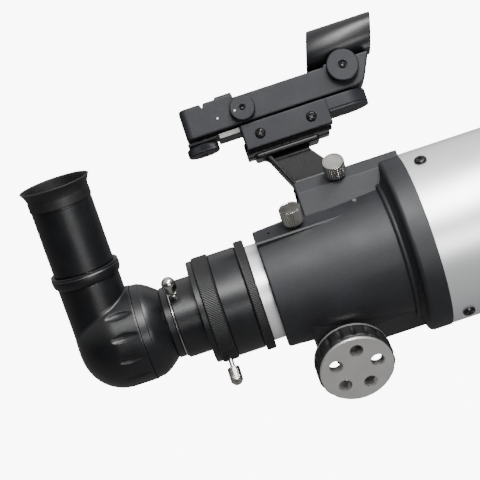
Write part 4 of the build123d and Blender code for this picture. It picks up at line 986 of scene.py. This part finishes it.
def altitude_knob():
    """Adjuster wheel under the body's rear: a knurled rim, and a socket in its flat face."""
    place = FINDER @ Matrix.Translation((KNOB_X, 0, KNOB_Z))
    _, high, radius = reach("altitude_knob", place)
    rim_high, count, depth, edge = 5.2, 60, 0.35, 0.6
    lean = count / radius * 0.5

    def relief(heights, angles, radii):
        ridge = 0.5 - 0.5 * np.cos(count * angles - lean * heights)
        inside = np.minimum(heights, rim_high - heights) - edge
        return radii - depth * ridge * np.clip(inside / 0.3, 0, 1) * (radii > radius - ON_RIM)

    rim = dense([(0, radius - edge), (edge, radius), (rim_high - edge, radius),
                 (rim_high, radius - edge)], KNURL_STEP)
    profile = [(1.6, 0), (1.6, 2.0), (0.15, 2.1), (0, 2.3)] + rim + [(rim_high, 1.5), (high, 1.5), (high, 0)]
    add_lathe("altitude_knob", profile, count * 6, place, "altitude_knob", "altitude_knob",
              relief=relief, sharp=30, material=SATIN)


def index_dot(name, place, body):
    """A small painted dot that stands a little proud."""
    profile = [(-0.1, 0), (-0.1, 0.68), (0.04, 0.62), (0.06, 0.5), (0.06, 0)]
    add_lathe(name, profile, 32, place, body, slot="white_glide")


def dial_bolt(name, place, tall, radius):
    """The bolt in the middle of a dial, its head just under the face."""
    seat = place @ Matrix.Translation((0, 0, tall - 1.55)) @ Matrix.Rotation(0.5, 4, "Z")
    points, faces = screw_mesh(radius, 1.1, 0.5, 0.3, seat, 0.09)
    add_piece(name + "_bolt", points, faces.tolist(), name, slot="black_screw", sharp=40)


def base_screws():
    """The two screws in the near side of the clamp block, as one piece."""
    places = [on_near_side(x, -BASE_HALF - 0.02, SCREW_Z, spin) for x, spin in zip(SCREW_X, (25, 55))]
    points, faces = merged([screw_mesh(3.4, 1.9, 1.5, 4.2, place, 0.14) for place in places])
    add_piece("finder_base_screws", points, faces, "finder_bracket", "finder_base_screws",
              "black_screw", 40)


def label_plate(p):
    """Thin blank plate on the side of the arm's label block."""
    return slab(p, (8.0, LABEL_Y - 0.25, 94.95), (20.4, LABEL_Y - 0.02, 97.9), 0.08)


GRID = 0.42                       # mesh size of the finder's mouldings
add_finder_skin("finder_body", finder_body, (BODY_REAR, -BODY_HALF, BODY_LOW),
                (109, BODY_HALF, BODY_HIGH + BUMP_RISE), GRID, "finder_body", SATIN)
add_finder_skin("finder_base", finder_base, (ARM_REAR, -BASE_HALF, BASE_LOW),
                (POD_X + POD_R, BASE_HALF, POST_TOP), GRID, "finder_bracket", SATIN)
add_finder_skin("finder_bracket", finder_bracket, (RAIL_REAR, -FOOT_HALF, FOOT_LOW),
                (FOOT_FRONT, FOOT_HALF, RAIL_TOP), GRID, "finder_bracket", GLOSS)
add_finder_skin("battery_cap", battery_cap, (BASE_FRONT, -POD_R, CAP_LOW),
                (POD_X + POD_R, POD_R, CAP_HIGH), 0.3, "finder_bracket", SATIN)
hood_and_window()
altitude_knob()
switch_place = dial("switch_knob", SWITCH_X, SWITCH_Z, SWITCH_R, SWITCH_TALL, 1.9, 6.1)
azimuth_place = dial("azimuth_knob", AZIMUTH_X, AZIMUTH_Z, AZIMUTH_R, AZIMUTH_TALL, 2.7, 4.1)
index_dot("switch_index_dot", switch_place @ Matrix.Translation((4.8, 0.4, SWITCH_TALL)), "switch_knob")
index_dot("body_index_dot", on_near_side(10.1, -BODY_HALF, 106.7), "finder_body")
dial_bolt("switch_knob", switch_place, SWITCH_TALL, 1.45)
dial_bolt("azimuth_knob", azimuth_place, AZIMUTH_TALL, 2.2)
base_screws()
add_skin("finder_label_plate", label_plate, (7.5, LABEL_Y - 0.7, 94.5), (21, LABEL_Y + 0.5, 98.4),
         0.1, FINDER, "finder_bracket", slot="steel", sharp=35, material=FOIL)
